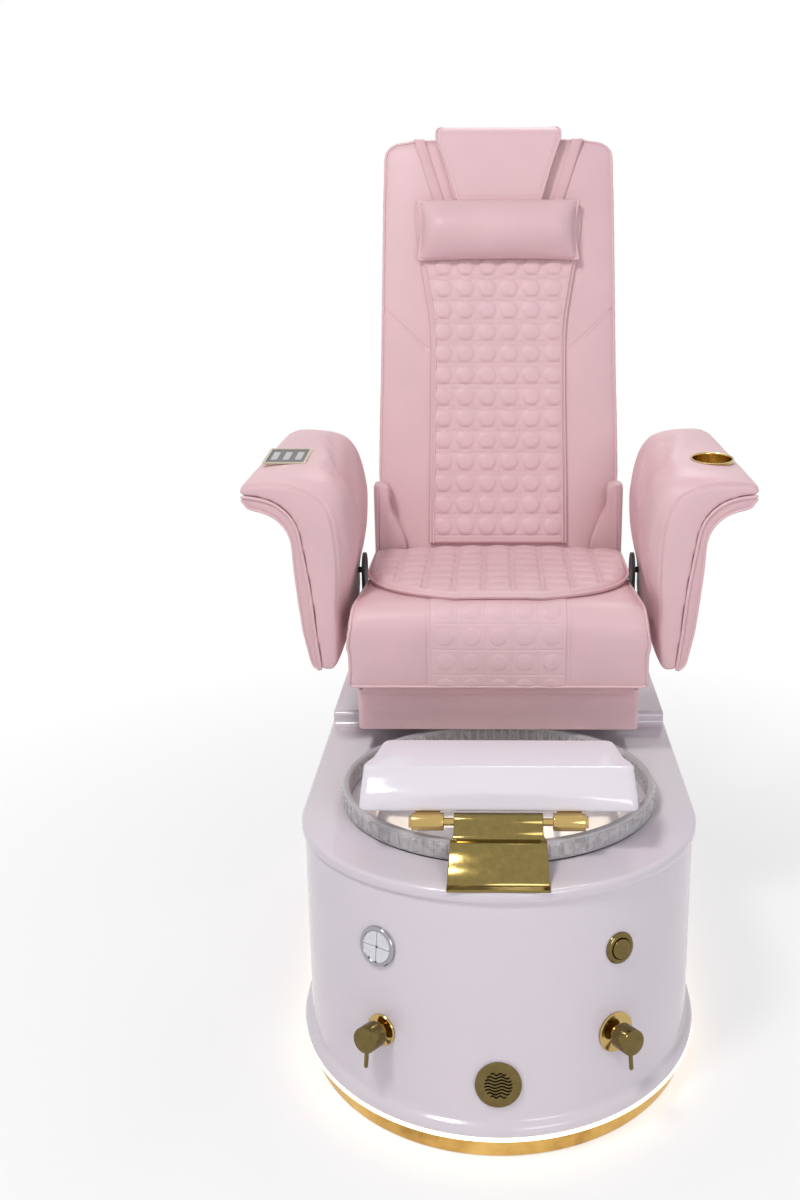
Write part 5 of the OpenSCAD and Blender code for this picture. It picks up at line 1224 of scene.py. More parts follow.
def pillow_rim(inset, v):
    side = [(pillow_half(t) - inset, PILLOW_LOW + inset + (PILLOW_TALL - 2 * inset) * t) for t in np.linspace(0, 1, 16)]
    top = [(x, PILLOW_LOW + PILLOW_TALL - inset - 3.0 * (1 - (x / 165) ** 2)) for x in np.linspace(160, -160, 24)]
    base = [(x, PILLOW_LOW + inset + 4.0 * (1 - (x / 165) ** 2)) for x in np.linspace(-160, 160, 24)]
    line = side + top + [(-x, u) for x, u in reversed(side)] + base
    return put(even(np.array([(x, v, u) for x, u in line]), 4.0, True), LEAN)


pillow_edge = pillow_rim(1.5, PILLOW_V)


def pillow_pins(co):
    x, v, u = in_back(co).T
    return np.maximum(near(co, np.vstack([pillow_edge, pillow_edge[:1]]), 8) * 1.7, (v > -17.6) * 1.0)


head_pillow = cushion("head_pillow", pillow_form, 4.5, pillow_pins, 13.0, 5.0)

# %% [markdown]
# ## Armrests
# Each armrest is a thick pad in the shape of a wing: it rises beside the seat, leans outwards and ends in
# a broad tray. One cross-section does not change much along its length, so it is a loft of sections: the
# front ones drawn in, which gives the rounded front. The left one is the mirror image of the right.

# %% Armrest form
ARM_LOW, ARM_OUT, ARM_FRONT, ARM_LEN, ARM_TOP, ARM_RISE, ARM_DROP = 284, 454, 93, 372, 206, 38, 134
WEB = ARM_LOW + 42
HOUSE = np.array([(ARM_OUT - 9, ARM_TOP - 18), (ARM_OUT - 34, ARM_TOP - 21), (ARM_OUT - 60, ARM_TOP - 29),
                  (WEB + 48, ARM_TOP - 43), (WEB + 34, ARM_TOP - 60), (WEB + 25, ARM_TOP - 82), (WEB + 18, ARM_TOP - 122),
                  (WEB + 8, ARM_TOP - 190), (WEB + 1, 72 - ARM_DROP), (WEB - 6, 6 - ARM_DROP)], float)
OUTWARD = np.array([(0.1, -1), (-0.1, -1.1), (0.1, -1.15), (0.45, -1.1), (0.8, -0.9), (1, -0.5), (1, -0.1), (1, 0),
                    (0.95, 0), (0.6, -0.25)])
FRONT_LINE = np.array([(302, -134), (291, -116), (288, -74), (290, -20), (293, 30), (296, 76), (304, 138), (320, 169),
                       (344, 189), (374, 201), (402, 205), (432, 204), (449, 200), (453, 194)], float)
MID_LINE = np.array([(302, -134), (288, -116), (284, -74), (283, -15), (271, 30), (262, 76), (262, 138), (272, 182),
                     (296, 208), (336, 219), (382, 219), (426, 214), (448, 205), (454, 195)], float)


def fine_line(corners, parts):
    """A smooth curve through the points, with the same count of points each time."""
    p = np.asarray(corners, float)
    line = spline(p, 1.0)
    run = np.concatenate([[0], np.cumsum(np.linalg.norm(np.diff(line, axis=0), axis=1))])
    at = np.linspace(0, run[-1], parts)
    return np.stack([np.interp(at, run, line[:, k]) for k in range(2)], 1)


def arm_place(line, y):
    """A line of [x, height over the seat] at a place along the arm, which rises and leans in towards its rear."""
    t = (y + ARM_FRONT) / ARM_LEN
    x, z = line[:, 0], line[:, 1]
    room = 6.5 * ease((y + 10) / 90) * ease((WEB - 16 - x) / 44)
    return np.column_stack([x + room - 27 * t * ease((x - WEB - 20) / 100), np.full(len(line), float(y)),
                            SEAT_TOP + z + ARM_RISE * t * ease((z - 20) / 130)])


front_part, mid_part, house_part = fine_line(FRONT_LINE, 64), fine_line(MID_LINE, 64), fine_line(HOUSE, 40)


def arm_section(y, share, tuck=0.0):
    top = mix(front_part, mid_part, share).copy()
    if tuck:
        fade = ease((60 - np.arange(64)) / 12.0)
        top[:, 0] += tuck * ease((WEB + 10 - top[:, 0]) / 60) * fade
        top[:, 1] -= 0.8 * tuck * ease((top[:, 1] - ARM_TOP + 60) / 60) * fade
    return arm_place(np.vstack([top, house_part]), y)


y0, y1 = -ARM_FRONT, ARM_LEN - ARM_FRONT
arm_rings = [arm_section(y0 + 1.0, 0.0)]
arm_rings += [arm_section(y0 + 1.0 + 8 * (1 - math.cos(a)), 0.42 * math.sin(a)) for a in np.radians((30, 60, 90))]
arm_rings += [arm_section(y0 + y, s) for y, s in ((14, 0.60), (20, 0.76), (30, 0.88), (44, 0.96), (62, 1.0))]
arm_rings += [arm_section(y, 1.0) for y in np.linspace(y0 + 80, y1 - 60, 10)]
arm_rings += [arm_section(y1 - y, 1, tuck) for y, tuck in ((36, 1.5), (22, 4), (11, 8), (4, 12), (0, 16))]
arm_form = loft(arm_rings)
front_seam = np.array([arm_section(y0 + 5.5, 0.30)[k] for k in range(14, 62)])
house_edge = [arm_place(house_part, y) for y in (y0 + 2, y1 - 2)]
lip_edge = np.array([arm_section(y, 1.0)[62] for y in np.linspace(y0 + 8, y1 - 8, 60)])
foot_edge = np.array([arm_section(y, 1.0)[1] for y in np.linspace(y0 + 8, y1 - 8, 60)])


def arm_pins(side):
    def pins(co):
        p = co * (side, 1, 1)
        held = near(p, front_seam, 9) * 1.6
        for line in (*house_edge, lip_edge, foot_edge):
            held = np.maximum(held, near(p, line, 9) * 1.4)
        x, y, z = p.T
        tray = SEAT_TOP + ARM_TOP + 13 + ARM_RISE * (y + ARM_FRONT) / ARM_LEN
        well = np.hypot(x - 386, y - (29 if side > 0 else 49)) < 58
        held = np.maximum(held, (well & (z > tray - 20)) * 1.0)
        rear = np.concatenate([arm_place(house_part, y) for y in np.linspace(y0 + 10, y1 - 10, 12)])
        return np.maximum(held, near(p, rear, 16) * 2.0)
    return pins


right_pad = cushion("arm_pad_right", arm_form, 6.5, arm_pins(1), 7.0, 3.0)
left_pad = cushion("arm_pad_left", mirrored(arm_form), 6.5, arm_pins(-1), 7.0, 3.0)

# %% Blow them all up
blow_up()

# %% [markdown]
# ## Quilting, seams and piping on the seat
# The simulation knows nothing of thread. Seams come after it: the surface is pressed in along each line,
# stitches are laid on both sides, and piping, a thin cord in its own leather sleeve, is laid along the
# edges. The front panel's quilting is a thin pad laid on the cushion, with a round dome in each cell.

# %% Seat seams
def dome(a, b, size=0.80):
    """Height from 0 to 1 of a round cushion in each cell of a grid of pitch 1."""
    u, v = a - np.floor(a) - 0.5, b - np.floor(b) - 0.5
    r = np.hypot(u, v) * 2 / size
    return np.sqrt(np.clip(1 - r ** 2.4, 0, 1)) * (r < 1)


def quilt_solid(name, front, rear, rows_n, cols_n):
    """A closed pad between two grids of points."""
    grid = [(j * cols_n + i, j * cols_n + i + 1, (j + 1) * cols_n + i + 1, (j + 1) * cols_n + i)
            for j in range(rows_n - 1) for i in range(cols_n - 1)]
    n = rows_n * cols_n
    rim = list(range(cols_n)) + [j * cols_n + cols_n - 1 for j in range(1, rows_n)]
    rim += [(rows_n - 1) * cols_n + i for i in range(cols_n - 2, -1, -1)]
    rim += [j * cols_n for j in range(rows_n - 2, 0, -1)]
    walls = [(a, b, n + b, n + a) for a, b in zip(rim, rim[1:] + rim[:1])]
    below = [tuple(n + i for i in reversed(face)) for face in grid]
    return solid(name, (np.vstack([front, rear]), grid + walls + below))


groove(seat_cover, panel_lines, 2.2, 1.8)
seat_skin = surface_of(seat_cover)
seam_lines = [lay_on(even(line + (off, 0, 0), 4.0), seat_skin, 0.25) for line in panel_lines for off in (-4.0, 4.0)]
seat_piping = [tube(lay_on(even(line, 5.0), seat_skin, 1.4), 3.0, 8) for line in side_edges]
seat_piping.append(tube(lay_on(even(front_edge, 5.0), seat_skin, 0.8), 2.4, 8))
dress(seat_cover, pink_leather, "seat", ["seat_cushion"], 180)
CELL, CELL_LOW, PANEL_HALF_WIDE = 47.0, 27.2, 121
runs, cross = np.linspace(4, 205, 190), np.linspace(-PANEL_HALF_WIDE, PANEL_HALF_WIDE, 190)
S, X = np.meshgrid(runs, cross, indexing="ij")
side_y, side_z = np.array([seat_profile(v) for v in S.ravel()]).T
laid = [seat_skin.find_nearest(Vector(v) * 0.001)[:2] for v in zip(X.ravel(), side_y, side_z)]
spots = np.array([v[0] for v in laid]) * 1000
outward = np.array([v[1] for v in laid])
gap = np.minimum(PANEL_HALF_WIDE - np.abs(X), S - 4 + 1.5)
col, row = X / CELL + 0.5, (S - CELL_LOW) / CELL
off_line = np.minimum(np.abs(col - np.round(col)), np.abs(row - np.round(row))) * CELL
lines_in = np.exp(-(off_line / 1.3) ** 2)
height = 1.3 * round_end(np.clip(gap, 0, 99) / 4)
height += (1.6 * dome(col, row, 0.66) - 0.7 * lines_in) * ease((gap - 1) / 4)
front_quilt = quilt_solid("front_quilt", spots + outward * height.reshape(-1, 1), spots - outward * 1.2, *X.shape)
dress(front_quilt, quilt_leather, "seat", angle=180)
piping("seat_piping", seat_piping, "seat")
stitches("seat_stitches", seam_lines, "seat")

# %% Quilted topper
TOPPER_Y0, TOPPER_LEN, TOPPER_HALF, TOPPER_COL, TOPPER_ROW = SEAT_FRONT + 34.0, 350.0, 250.0, 54.0, 45


def topper_half(t):
    return TOPPER_HALF * np.sqrt(np.maximum(0, 1 - np.maximum(0, 1 - t / 0.62) ** 2.2))


def topper_base(x, y):
    return SEAT_TOP - CROWN + CROWN * np.sin(np.pi / 2 + np.pi / 2 * x / seat_half(y)) + 1.0


ts = np.linspace(0, 1, 121) ** 1.35
ss = np.linspace(-1, 1, 169)
T, S = np.meshgrid(ts, ss, indexing="ij")
Y = TOPPER_Y0 + 3 + (TOPPER_LEN - 6) * T
X = topper_half(0.028 + 0.972 * T) * S
gap_side, gap_front = (1 - np.abs(S)) * topper_half(0.03 + 0.97 * T), (Y - TOPPER_Y0) * 0.9
gap_rear = 3 + TOPPER_Y0 + TOPPER_LEN - Y
edge_round_up = round_end(np.minimum(gap_side, np.minimum(gap_front + 2, gap_rear)) / 16)
column, row = X / TOPPER_COL + 0.5, Y / TOPPER_ROW
off_col, off_row = np.abs(column - np.round(column)) * TOPPER_COL, np.abs(row - np.round(row)) * TOPPER_ROW
lines_in = np.exp(-((off_col - 3.4) / 1.5) ** 2) + 0.5 * np.exp(-(off_col / 3.0) ** 2)
puff = 3.0 * dome(column, row + 0.5, 0.86) - 1.3 * lines_in - 0.7 * np.exp(-(off_row / 1.6) ** 2)
field = ease((np.minimum(gap_side, gap_front + 1) - 12) / 8)
base = topper_base(X, Y)
Z = base + 1.2 + 12.6 * edge_round_up + puff * field
top, low = (np.stack([X, Y, z], -1).reshape(-1, 3) for z in (Z, base))
topper = quilt_solid("seat_quilt", top, low, *X.shape)
dress(topper, quilt_leather, "seat", ["seat_topper"], 180)
round_trip = [(-1, t) for t in np.linspace(1, 0, 90)] + [(s, 0) for s in np.linspace(-0.95, 0.95, 40)]
round_trip += [(1, t) for t in np.linspace(0, 1, 90)]
border = np.array([(topper_half(0.028 + 0.972 * t) * s, TOPPER_Y0 + 2.5 + 345 * t) for s, t in round_trip])
border = even(np.column_stack([border, topper_base(border[:, 0], border[:, 1]) + 5.5]), 4.0)
piping("quilt_piping", [tube(border, 3.0, 8)], "seat")
top_skin = surface_of(topper)
rows = []
for k in range(-4, 4):
    for off in (-3.4, 3.4):
        x = TOPPER_COL * (k + 0.5) + off
        if abs(x) > 236:
            continue
        t_min = next((t for t in np.linspace(0, 0.9, 400) if topper_half(0.03 + 0.97 * t) > abs(x) + 13), 0.5)
        ys = np.linspace(TOPPER_Y0 + 350 * t_min + 8, TOPPER_Y0 + 340, 80)
        rows.append(lay_on(np.column_stack([np.full(80, x), ys, topper_base(x, ys) + 16]), top_skin, 0.2))
stitches("quilt_stitches", rows, "seat", 7.0, 4.8, 0.8)

# %% [markdown]
# ## Dressing the backrest
# The diagonal seams are pressed in and sewn on both sides. Piping follows the front outline and the rear
# one. The quilted mat in the middle is a height field: a flat grid raised by a formula, with a round
# cushion in each cell of the grid, and a narrow valley where a seam would pull the leather down.

# %% Backrest seams and piping
groove(back_pad, slants, 2.4, 2.0)
back_skin = surface_of(back_pad)
dress(back_pad, pink_leather, "backrest", ["back_cushion"], 180)
back_cords = [tube(lay_on(back_edge, back_skin, 1.0), 3.0, 8), tube(lay_on(rear_edge, back_skin, 0.6), 2.6, 8)]
piping("back_piping", back_cords, "backrest")
seam_lines = []
for line in slants:
    run = line[-1] - line[0]
    sideways = np.cross(run / np.linalg.norm(run), np.array(LEAN)[:3, 1])
    seam_lines += [lay_on(even(line + sideways * off, 4.0), back_skin, 0.25) for off in (-4.0, 4.0)]
stitches("back_stitches", seam_lines, "backrest")

# %% Quilted mat
MAT_TOP, DOME_U0, DOME, DOME_X, DOME_ROWS = 706.0, 20.0, 44.7, 45.6, 13
us = np.linspace(5, MAT_TOP, 270)
ss = np.linspace(-1, 1, 125)
U, S = np.meshgrid(us, ss, indexing="ij")
X = mat_half(U) * S
gap = np.minimum(mat_half(U) - np.abs(X), np.minimum(U - 5, MAT_TOP - U + 0.5))
col, row = X / DOME_X, (U - DOME_U0) / DOME
in_field = ease((row + 0.10) / 0.12) * ease((DOME_ROWS + 0.10 - row) / 0.12) * ease((3.05 - np.abs(col)) / 0.08)
off_row = np.abs(row - np.round(row)) * DOME
off_col = np.abs(col - np.round(col)) * DOME_X
rows_down = np.exp(-((off_row - 3.4) / 1.2) ** 2) * (row > -0.3) * (row < DOME_ROWS + 0.3)
cols_down = np.exp(-(off_col / 1.3) ** 2) * ease((7.4 - row) / 0.5) * (row > -0.3) * (np.abs(col) < 3.3)
height = 9.2 * round_end(np.clip(gap, 0, 99) / 9) + 3.8 * dome(col, row, 0.80) * in_field
height -= (1.3 * rows_down + 1.1 * cols_down) * ease((gap - 4) / 6)
mat_front = np.stack([X, -height - 0.3, U], -1).reshape(-1, 3)
mat_rear = np.stack([X, np.full_like(X, -0.2), U], -1).reshape(-1, 3)
mat = quilt_solid("back_quilt", put(mat_front, LEAN), put(mat_rear, LEAN), *X.shape)
dress(mat, quilt_leather, "backrest", ["back_mat"], 180)
cords = []
for side in (-1, 1):
    for inset, v in ((1.0, -4.0), (8.0, -9.6)):
        line = np.array([(side * (float(mat_half(u)) - inset), v, u) for u in np.linspace(8, 700, 110)])
        cords.append(tube(put(line, LEAN), 2.3, 8))
piping("mat_piping", cords, "backrest")
mat_skin = surface_of(mat)
rows = []
for k in range(DOME_ROWS + 1):
    for off in (-3.4, 3.4):
        u = DOME_U0 + k * DOME + off
        half = min(float(mat_half(u)) - 6, 3.3 * DOME_X)
        line = np.array([(x, -14, u) for x in np.linspace(-half, half, 40)])
        rows.append(lay_on(put(line, LEAN), mat_skin, 0.2))
stitches("mat_stitches", rows, "backrest", 5.2, 3.8, 0.8)

# %% Pillow cover
inner_rim = pillow_rim(11.0, -24.0)
groove(head_pillow, [np.vstack([inner_rim, inner_rim[:1]])], 1.8, 1.4)
dress(head_pillow, pink_leather, "backrest", ["pillow"], 180)
piping("pillow_piping", [tube(pillow_edge, 3.2, 8, True)], "backrest")

# %% [markdown]
# ## Head flap and straps
# A broad flap comes down the front of the backrest, behind the pillow, and rolls over its top like a
# towel over a rail. Two leather straps hold the pillow; they run up beside the flap, over the top and
# down the rear. A strap lies on the cushion, so its path is pushed out wherever the cushion has swelled.

# %% Head flap
FLAP = [(-0.4, 711), (-12, 711), (-18, 717), (-20, 776), (-18, 841.3), (-13, 856), (-6, 863), (4, 868), (14, 871),
        (35, 871.8), (56, 871), (74, 867), (86, 861), (93, 853), (95, 841.6), (50, 841.6), (-0.4, 841.6), (-0.4, 776)]
flap_line = even(spline(FLAP, 2.0, True), 3.5, True)


def flap_half(u):
    return np.interp(u, (711, 776, 841, 856, 866, 872), (88, 107, 129, 128, 123, 118))


def flap_ring(s, inset):
    p = smaller(flap_line, inset)
    p[:, 0] = np.minimum(p[:, 0], 95)
    return put(np.column_stack([flap_half(flap_line[:, 1]) * s, p[:, 0], p[:, 1]]), LEAN)


flap_steps = [(-1, 3.2), (-0.993, 1.6), (-0.98, 0.5), (-0.96, 0)] + [(s, 0) for s in np.linspace(-0.9, 0.9, 19)]
flap_steps += [(0.96, 0), (0.98, 0.5), (0.993, 1.6), (1, 3.2)]
flap = solid("flap", loft([flap_ring(s, inset) for s, inset in flap_steps]))
dress(flap, pink_leather, "backrest", ["head_flap"], 60)
flap_skin = surface_of(flap)
outer = flap_line[(flap_line[:, 0] < -11) | (flap_line[:, 1] > 843)]
outer = outer[np.argsort(np.where(outer[:, 1] < 842, outer[:, 1], 842 + outer[:, 0] + 20))]
cords, rows = [], []
for side in (-1, 1):
    edge, seam = (put(np.column_stack([side * (flap_half(outer[:, 1]) - inset), outer]), LEAN) for inset in (1.0, 9.0))
    cords.append(tube(even(edge, 5.0), 2.2, 8))
    rows.append(lay_on(even(seam, 4.0), flap_skin, 0.25))
hem = put(np.array([(x, -17.5, 722.0) for x in np.linspace(-80, 80, 30)]), LEAN)
rows.append(lay_on(hem, flap_skin, 0.25))
piping("flap_piping", cords, "backrest")
stitches("flap_stitches", rows, "backrest")

# %% Straps
def keep_off(points, tree, gap):
    """Moves points in millimetres out to at least a gap from a closed surface."""
    out = []
    for p in np.asarray(points, float):
        spot, normal, _, far = tree.find_nearest(Vector(p) * 0.001)
        if far is not None and far < 0.03:
            height = (Vector(p) * 0.001 - spot).dot(normal) * 1000
            p = p + np.array(normal) * max(0.0, gap - height)
        out.append(p)
    return np.array(out)


def ribbon(path, x_mid, width, thick):
    """A strap of constant width across X along a path of [v, u], in the backrest's frame."""
    t = thick / 2
    edge = flat_section(width / 2, ((0, 0.35 * t), (0.5, 0.8 * t), (1.4, t)))
    return [np.array([(x + a, v - nv * b, u - nu * b) for a, b in edge])
            for x, (v, u), (nv, nu) in zip(x_mid, path, beside(path))]


STRAP_FOOT, STRAP_IN, STRAP_SPREAD, STRAP_WIDE, STRAP_THICK = 700, 118.5, 45.0, 22.5, 2.4
strap_path = spline([(-1.8, STRAP_FOOT), (-1.8, 745), (-1.8, 800), (-1.9, 830), (-1.0, 841), (6, 842.9), (40, 843),
                     (90, 843), (122, 842.9), (129, 841), (130, 830), (130, 790), (130, 752)], 6.0)
climb = np.where(strap_path[:, 0] < 1, np.clip((strap_path[:, 1] - STRAP_FOOT) / 141.3, 0, 1), 1.0)
loops, seams = [], []
for side in (-1, 1):
    mids = side * (STRAP_IN + STRAP_SPREAD * climb)
    middle = keep_off(put(np.column_stack([mids, strap_path]), LEAN), back_skin, 1.9)
    local = in_back(middle)
    loops.append(loft([put(ring, LEAN) for ring in ribbon(local[:, 1:], local[:, 0], STRAP_WIDE, STRAP_THICK)]))
    above = local[:, 1:] - beside(local[:, 1:]) * 1.35
    seams += [even(put(np.column_stack([local[:, 0] + off, above]), LEAN), 4.0) for off in (-8.5, 8.5)]
dress(solid("straps", join(*loops)), shade_painted_leather, "backrest", ["pillow_straps"], 60)
stitches("strap_stitches", seams, "backrest", 6.0, 4.0, 0.7)

# %% [markdown]
# ## Back shell and side ears
# From behind, a padded shell covers the frame. It is one loft, hollow like a tray, with a slot at its foot
# for the uprights. Two ears fill the corners between the narrow foot of the backrest and the armrests.

# %% Back shell
SHELL_IN, SHELL_FOOT, SHELL_TOP = 4, -28, 838


def shell_outline(inset, v):
    """The rear shell's outline, all round, at a depth v behind the backrest's face."""
    r, foot, bend_u = BACK_R - inset, SHELL_FOOT + inset, SHELL_TOP - BACK_R
    up = [(float(back_half(u)) - SHELL_IN - inset, u) for u in np.linspace(foot, bend_u, 70)]
    bend = [(BACK_TOP_WIDE / 2 - SHELL_IN - BACK_R + r * math.cos(t), bend_u + r * math.sin(t))
            for t in np.radians(np.linspace(8, 82, 12))]
    half = up + bend + [(x, SHELL_TOP - inset) for x in np.linspace(198, 0, 12)]
    line = half + [(-x, u) for x, u in reversed(half[:-1])] + [(x, foot) for x in np.linspace(-180, 180, 14)]
    return put(np.array([(x, v, u) for x, u in line]), LEAN)


levels = [(20, 121.6), (6.3, 121.5), (6.2, 73.6), (5.6, 73), (0.8, 73.1), (0, 74.2), (0, 112)]
levels += [(14 * (1 - math.cos(t)), 114 + 13.6 * math.sin(t)) for t in np.radians((15, 32, 50, 68, 84))] + [(22, 127.8)]
back_shell = solid("back_shell", loft([shell_outline(inset, v) for inset, v in levels]))
cut(back_shell, solid("slot_tool", placed(block(-196, 196, 60, 122.1, -38, 2), LEAN)))
dress(back_shell, shade_painted_leather, "backrest", ["back_cover"], 50)
rear_skin = surface_of(back_shell)
ring = in_back(shell_outline(34, 130))
cords = [tube(lay_on(put(even(ring, 5.0, True), LEAN), rear_skin, 0.2), 2.6, 8, True)]
for u in (250, 560):
    half = float(back_half(u)) - 40
    line = put([(x, 129, u) for x in np.linspace(-half, half, 60)], LEAN)
    cords.append(tube(lay_on(line, rear_skin, 0.2), 2.2, 8))
piping("shell_piping", cords, "backrest")

# %% Side ears
EAR = [(246, 541), (256, 541), (256.3, 620), (256.5, 700), (256.5, 780), (256.3, 836), (254, 846), (249, 848),
       (242, 836), (241, 815), (238, 790), (228, 770), (216, 745), (209, 725), (207, 705), (211, 690), (228, 676),
       (244, 661), (244.4, 600)]
ear = even(spline(EAR, 3.0, True), 4.0, True)
ear_steps = [(296.5, 4.2), (297.5, 2.6), (299.5, 1.2), (303, 0.3), (308, 0), (330, 0), (335, 0.6), (338, 2.0),
             (339.6, 4.2)]
for side, name in ((1, "ear_right"), (-1, "ear_left")):
    rings = []
    for y, inset in ear_steps:
        p = smaller(ear, inset)
        room_behind = 306 + 9 + (p[:, 1] - SEAT_TOP) * math.tan(math.radians(15)) - 3 - y
        p[:, 0] -= 18 * ease(room_behind / 12) * ease((255 - p[:, 0]) / 10) * ease((p[:, 1] - 690) / 20)
        rings.append(np.column_stack([side * p[:, 0], np.full(len(p), y), p[:, 1]]))
    piece = dress(solid(name, loft(rings)), pink_leather, "seat", ["side_gussets"], 60)

# %% [markdown]
# ## Dressing the armrests
# A well is cut in each tray, for the cup holder on one side and the remote on the other. The outer face
# of each armrest is a padded shell of constant thickness, sewn on with a double line of piping that runs
# round the front.

# %% Armrest pads
TRAY_TILT = Matrix.Rotation(math.atan(ARM_RISE / ARM_LEN), 4, "X")
CUP = Matrix.Translation((386, 29, 944.46)) @ TRAY_TILT
REMOTE = Matrix.Scale(-1, 4, (1, 0, 0)) @ Matrix.Translation((386, 49, 946.5)) @ TRAY_TILT
cut(right_pad, solid("cup_well", turned([(0, -46), (37.6, -46), (37.6, 40), (0, 40)], CUP, 72)))
cut(left_pad, solid("remote_well", placed(block(-36.4, 36.4, -46.4, 46.4, -17, 40), REMOTE)))


def outer_band(y, inset_y):
    """A section of the shell: its inner line lies on the pad, its outer line 25 mm away."""
    ways = spline(OUTWARD, 0.05)
    at = np.linspace(0, 1, 40)
    run = np.linspace(0, 1, len(ways))
    push = np.stack([np.interp(at, run, ways[:, k]) for k in range(2)], 1)
    ends = round_end(np.minimum(at, 1 - at) / 0.05)[:, None]
    thickness = (25.0 - inset_y) * (0.30 + 0.70 * ends)
    inner = house_part + push * (1.0 + 0.35 * inset_y)
    outer = house_part + push * np.maximum(thickness, 3.0)
    return arm_place(np.vstack([inner, outer[::-1]]), y)


band_steps = [(y0 + 0.6, 9.5), (y0 + 1.2, 6.5), (y0 + 3.0, 3.4), (y0 + 6.5, 1.2), (y0 + 11, 0)]
band_steps += [(y, 0) for y in np.linspace(y0 + 24, y1 - 24, 16)]
band_steps += [(y1 - 11, 0), (y1 - 6.5, 1.2), (y1 - 3.0, 3.4), (y1 - 1.2, 6.5), (y1 - 0.6, 9.5)]
band_form = loft([outer_band(y, inset) for y, inset in band_steps])
front_cord = outer_band(y0 + 2.0, 0)[:40]
rear_cord = outer_band(y1 - 2.0, 0)[:40]
front_cord_b = outer_band(y0 + 1.4, 4.0)[40:][::-1]
for side, name, pad in ((1, "right", right_pad), (-1, "left", left_pad)):
    body = "armrest_" + name
    groove(pad, [front_seam * (side, 1, 1)], 2.0, 1.8)
    skin = surface_of(pad)
    dress(pad, pink_leather, body, ["arm_cushion_" + name], 60)
    band = solid("arm_band_" + name, band_form if side > 0 else mirrored(band_form))
    if side > 0:
        cut(band, solid("cup_room", turned([(0, -46), (37.9, -46), (37.9, 20), (0, 20)], CUP, 72)))
    dress(band, shade_painted_leather, body, ["arm_shell_" + name], 50)
    band_skin = surface_of(band)
    cords = [tube(even(front_cord * (side, 1, 1) - (0, 1.2, 0), 5.0), 3.0, 8),
             tube(lay_on(even(front_cord_b * (side, 1, 1), 5.0), band_skin, 0.6), 2.4, 8),
             tube(even(rear_cord * (side, 1, 1) + (0, 1.0, 0), 5.0), 2.8, 8)]
    piping("arm_piping_" + name, cords, body)
    rows = [lay_on(even(front_seam * (side, 1, 1) + (0, off, 0), 4.0), skin, 0.25) for off in (-3.6, 3.6)]
    stitches("arm_stitches_" + name, rows, body, 6.0, 4.2, 0.8)

# %% Cup holder and remote
cup = turned([(0, -44), (36.6, -44), (36.8, 0.5), (38.6, 0.6), (39.4, 1.2), (39.4, 1.8), (38.8, 2.5), (37.4, 2.8),
              (36.0, 2.4), (35.2, 1.4), (35, 0), (34.6, -38), (33, -41), (30, -42), (0, -42)], CUP, 96)
dress(solid("cup_ring", cup), polished_brass, "armrest_right", ["cup_holder"], 32)


def soft_box(w, d, r, inset, z):
    """A rectangle with round corners, drawn in by an inset."""
    return oblong(w - inset, -d + inset, d - inset, r - inset, z, 8)


HOLE, RIM_BOX, TONGUE, PLATE, KEY_PITCH = (34, 44, 4), (40, 50, 7), (36, 46, 4), (33.8, 43.8, 4), 22
bezel = loft([soft_box(*box, inset, z) for box, inset, z in (
    (HOLE, 0, 1.0), (HOLE, -0.2, 2.6), (HOLE, -0.9, 3.2), (RIM_BOX, 1.4, 3.3), (RIM_BOX, 0.4, 2.8), (RIM_BOX, 0, 1.8),
    (RIM_BOX, 0.3, 0.6), (TONGUE, 0.4, 0.5), (TONGUE, 0.4, -8), (HOLE, 0.1, -8), (HOLE, 0, 1.0))], "open")
dress(solid("remote_frame", placed(bezel, REMOTE)), pale_brass, "armrest_left", ["remote_panel"], 32)
plate = loft([soft_box(*PLATE, inset, z) for inset, z in ((0.4, -15), (0, 1.4), (0.5, 1.8))])
plate = solid("remote_plate", placed(plate, REMOTE))
for x in (-KEY_PITCH, 0, KEY_PITCH):
    cut(plate, solid("key_well", placed(block(x - 6.9, x + 6.9, -25.6, 25.6, -2.6, 9), REMOTE)))
dress(plate, slate_plastic, "armrest_left", ["remote_panel"], 32)
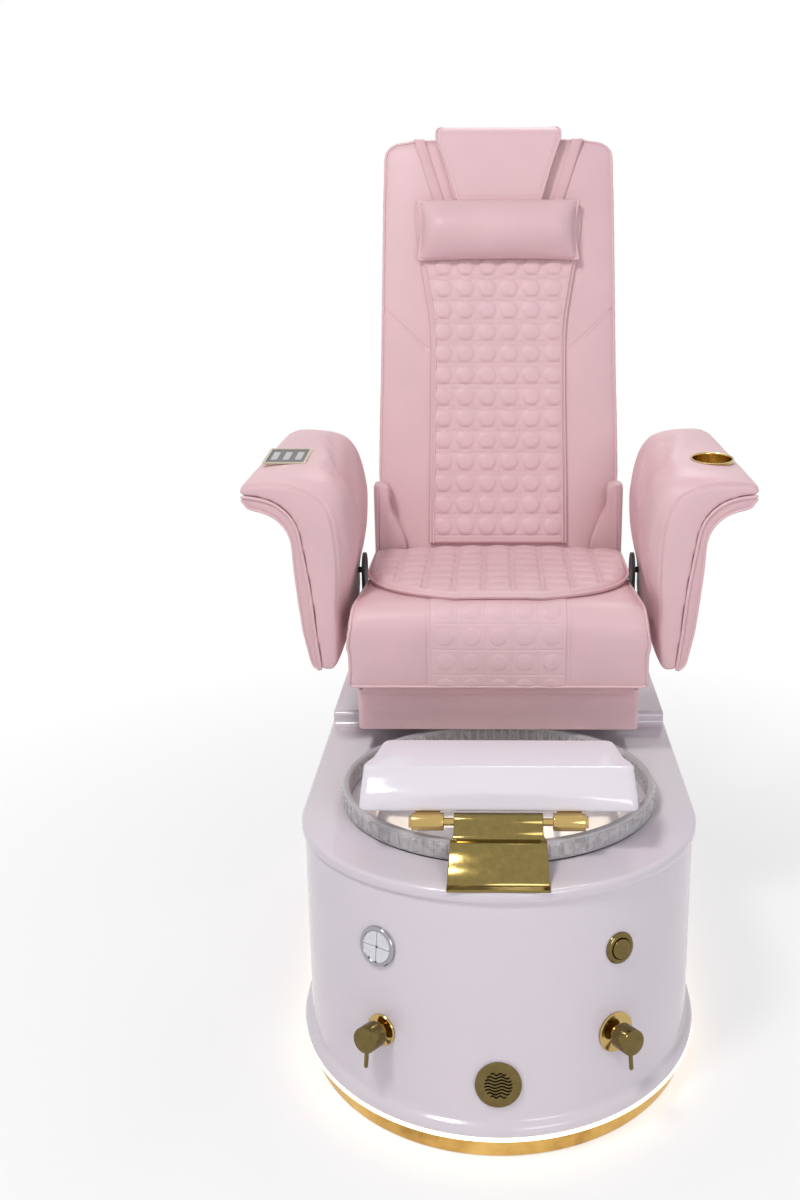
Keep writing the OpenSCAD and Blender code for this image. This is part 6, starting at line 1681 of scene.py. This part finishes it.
for x, letter in ((-KEY_PITCH, "a"), (0, "b"), (KEY_PITCH, "c")):
    steps = ((0.3, -1.6), (0, -1.2), (0, 1.8), (0.5, 2.6), (1.4, 3.0))
    rings = [soft_box(6.5, 25, 2.2, inset, z) for inset, z in steps]
    for ring in rings[2:]:
        ring[:, 2] += 1.0 * (1 - np.abs(ring[:, 1]) / 25)
    for ring in rings[:2]:
        ring[:, 2] += 1.5 * np.abs(ring[:, 1]) / 25
    key = solid("remote_button_" + letter, placed(loft([r + (x, 0, 0) for r in rings]), REMOTE))
    dress(key, silver_plastic, "rocker_" + letter, ["remote_key_" + letter], 40)

# %% Apron
APRON_HALF, APRON_FRONT, APRON_REAR, APRON_R = 257, -77, 401, 9
APRON = [(6, 463), (4.5, 461.2), (1.5, 461.2), (0.4, 462.0), (0, 463.5), (0, 537), (0.5, 539), (2, 539.8), (5, 539.8),
         (6, 538)]
apron = loft([oblong(APRON_HALF - i, APRON_FRONT + i, APRON_REAR - i, APRON_R - i, z) for i, z in APRON], "joined")
apron = cut(solid("apron_panel", apron), solid("notch", block(-204, 204, 390, 410, 450, 490)))
dress(apron, pink_leather, "seat", ["apron"], 35)

# %% [markdown]
# ## Finishes for the solid model's own pieces
# The rods, rails, motors, pipes and screws have their true shape already, so they only need finishes. Each
# finish is put in the piece's own material slot, by the piece's name.

# %% Finishes by piece
FINISHES = {
    polished_brass: "hinge_rod bowl_inlet bowl_drain", black_rubber: "bowl_gasket",
    chrome: "panel_screws slide_rod",
    white_plastic: "pad_button_a pad_button_b pad_button_c pad_button_d drain_pipe supply_hoses",
    steel: "inner_frame seat_frame back_frame slide_rails", panel_grey: "rear_panel",
    black_plastic: "arm_brackets control_box slide_drive recline_motor jet_pump power_inlet", grey_plastic: "water_inlets",
    # the seat pan's edge lies in shade under the seat, so it gets the darker leather: painted shade
    shade_painted_leather: "seat_pan"}
for finish, names in FINISHES.items():
    for name in names.split():
        for piece in (o for o in bpy.data.objects if o.name.split(".")[0] == name and o.type == "MESH"):
            for slot in piece.material_slots:
                slot.material = finish
print("finished", sum(len(names.split()) for names in FINISHES.values()), "solid pieces")
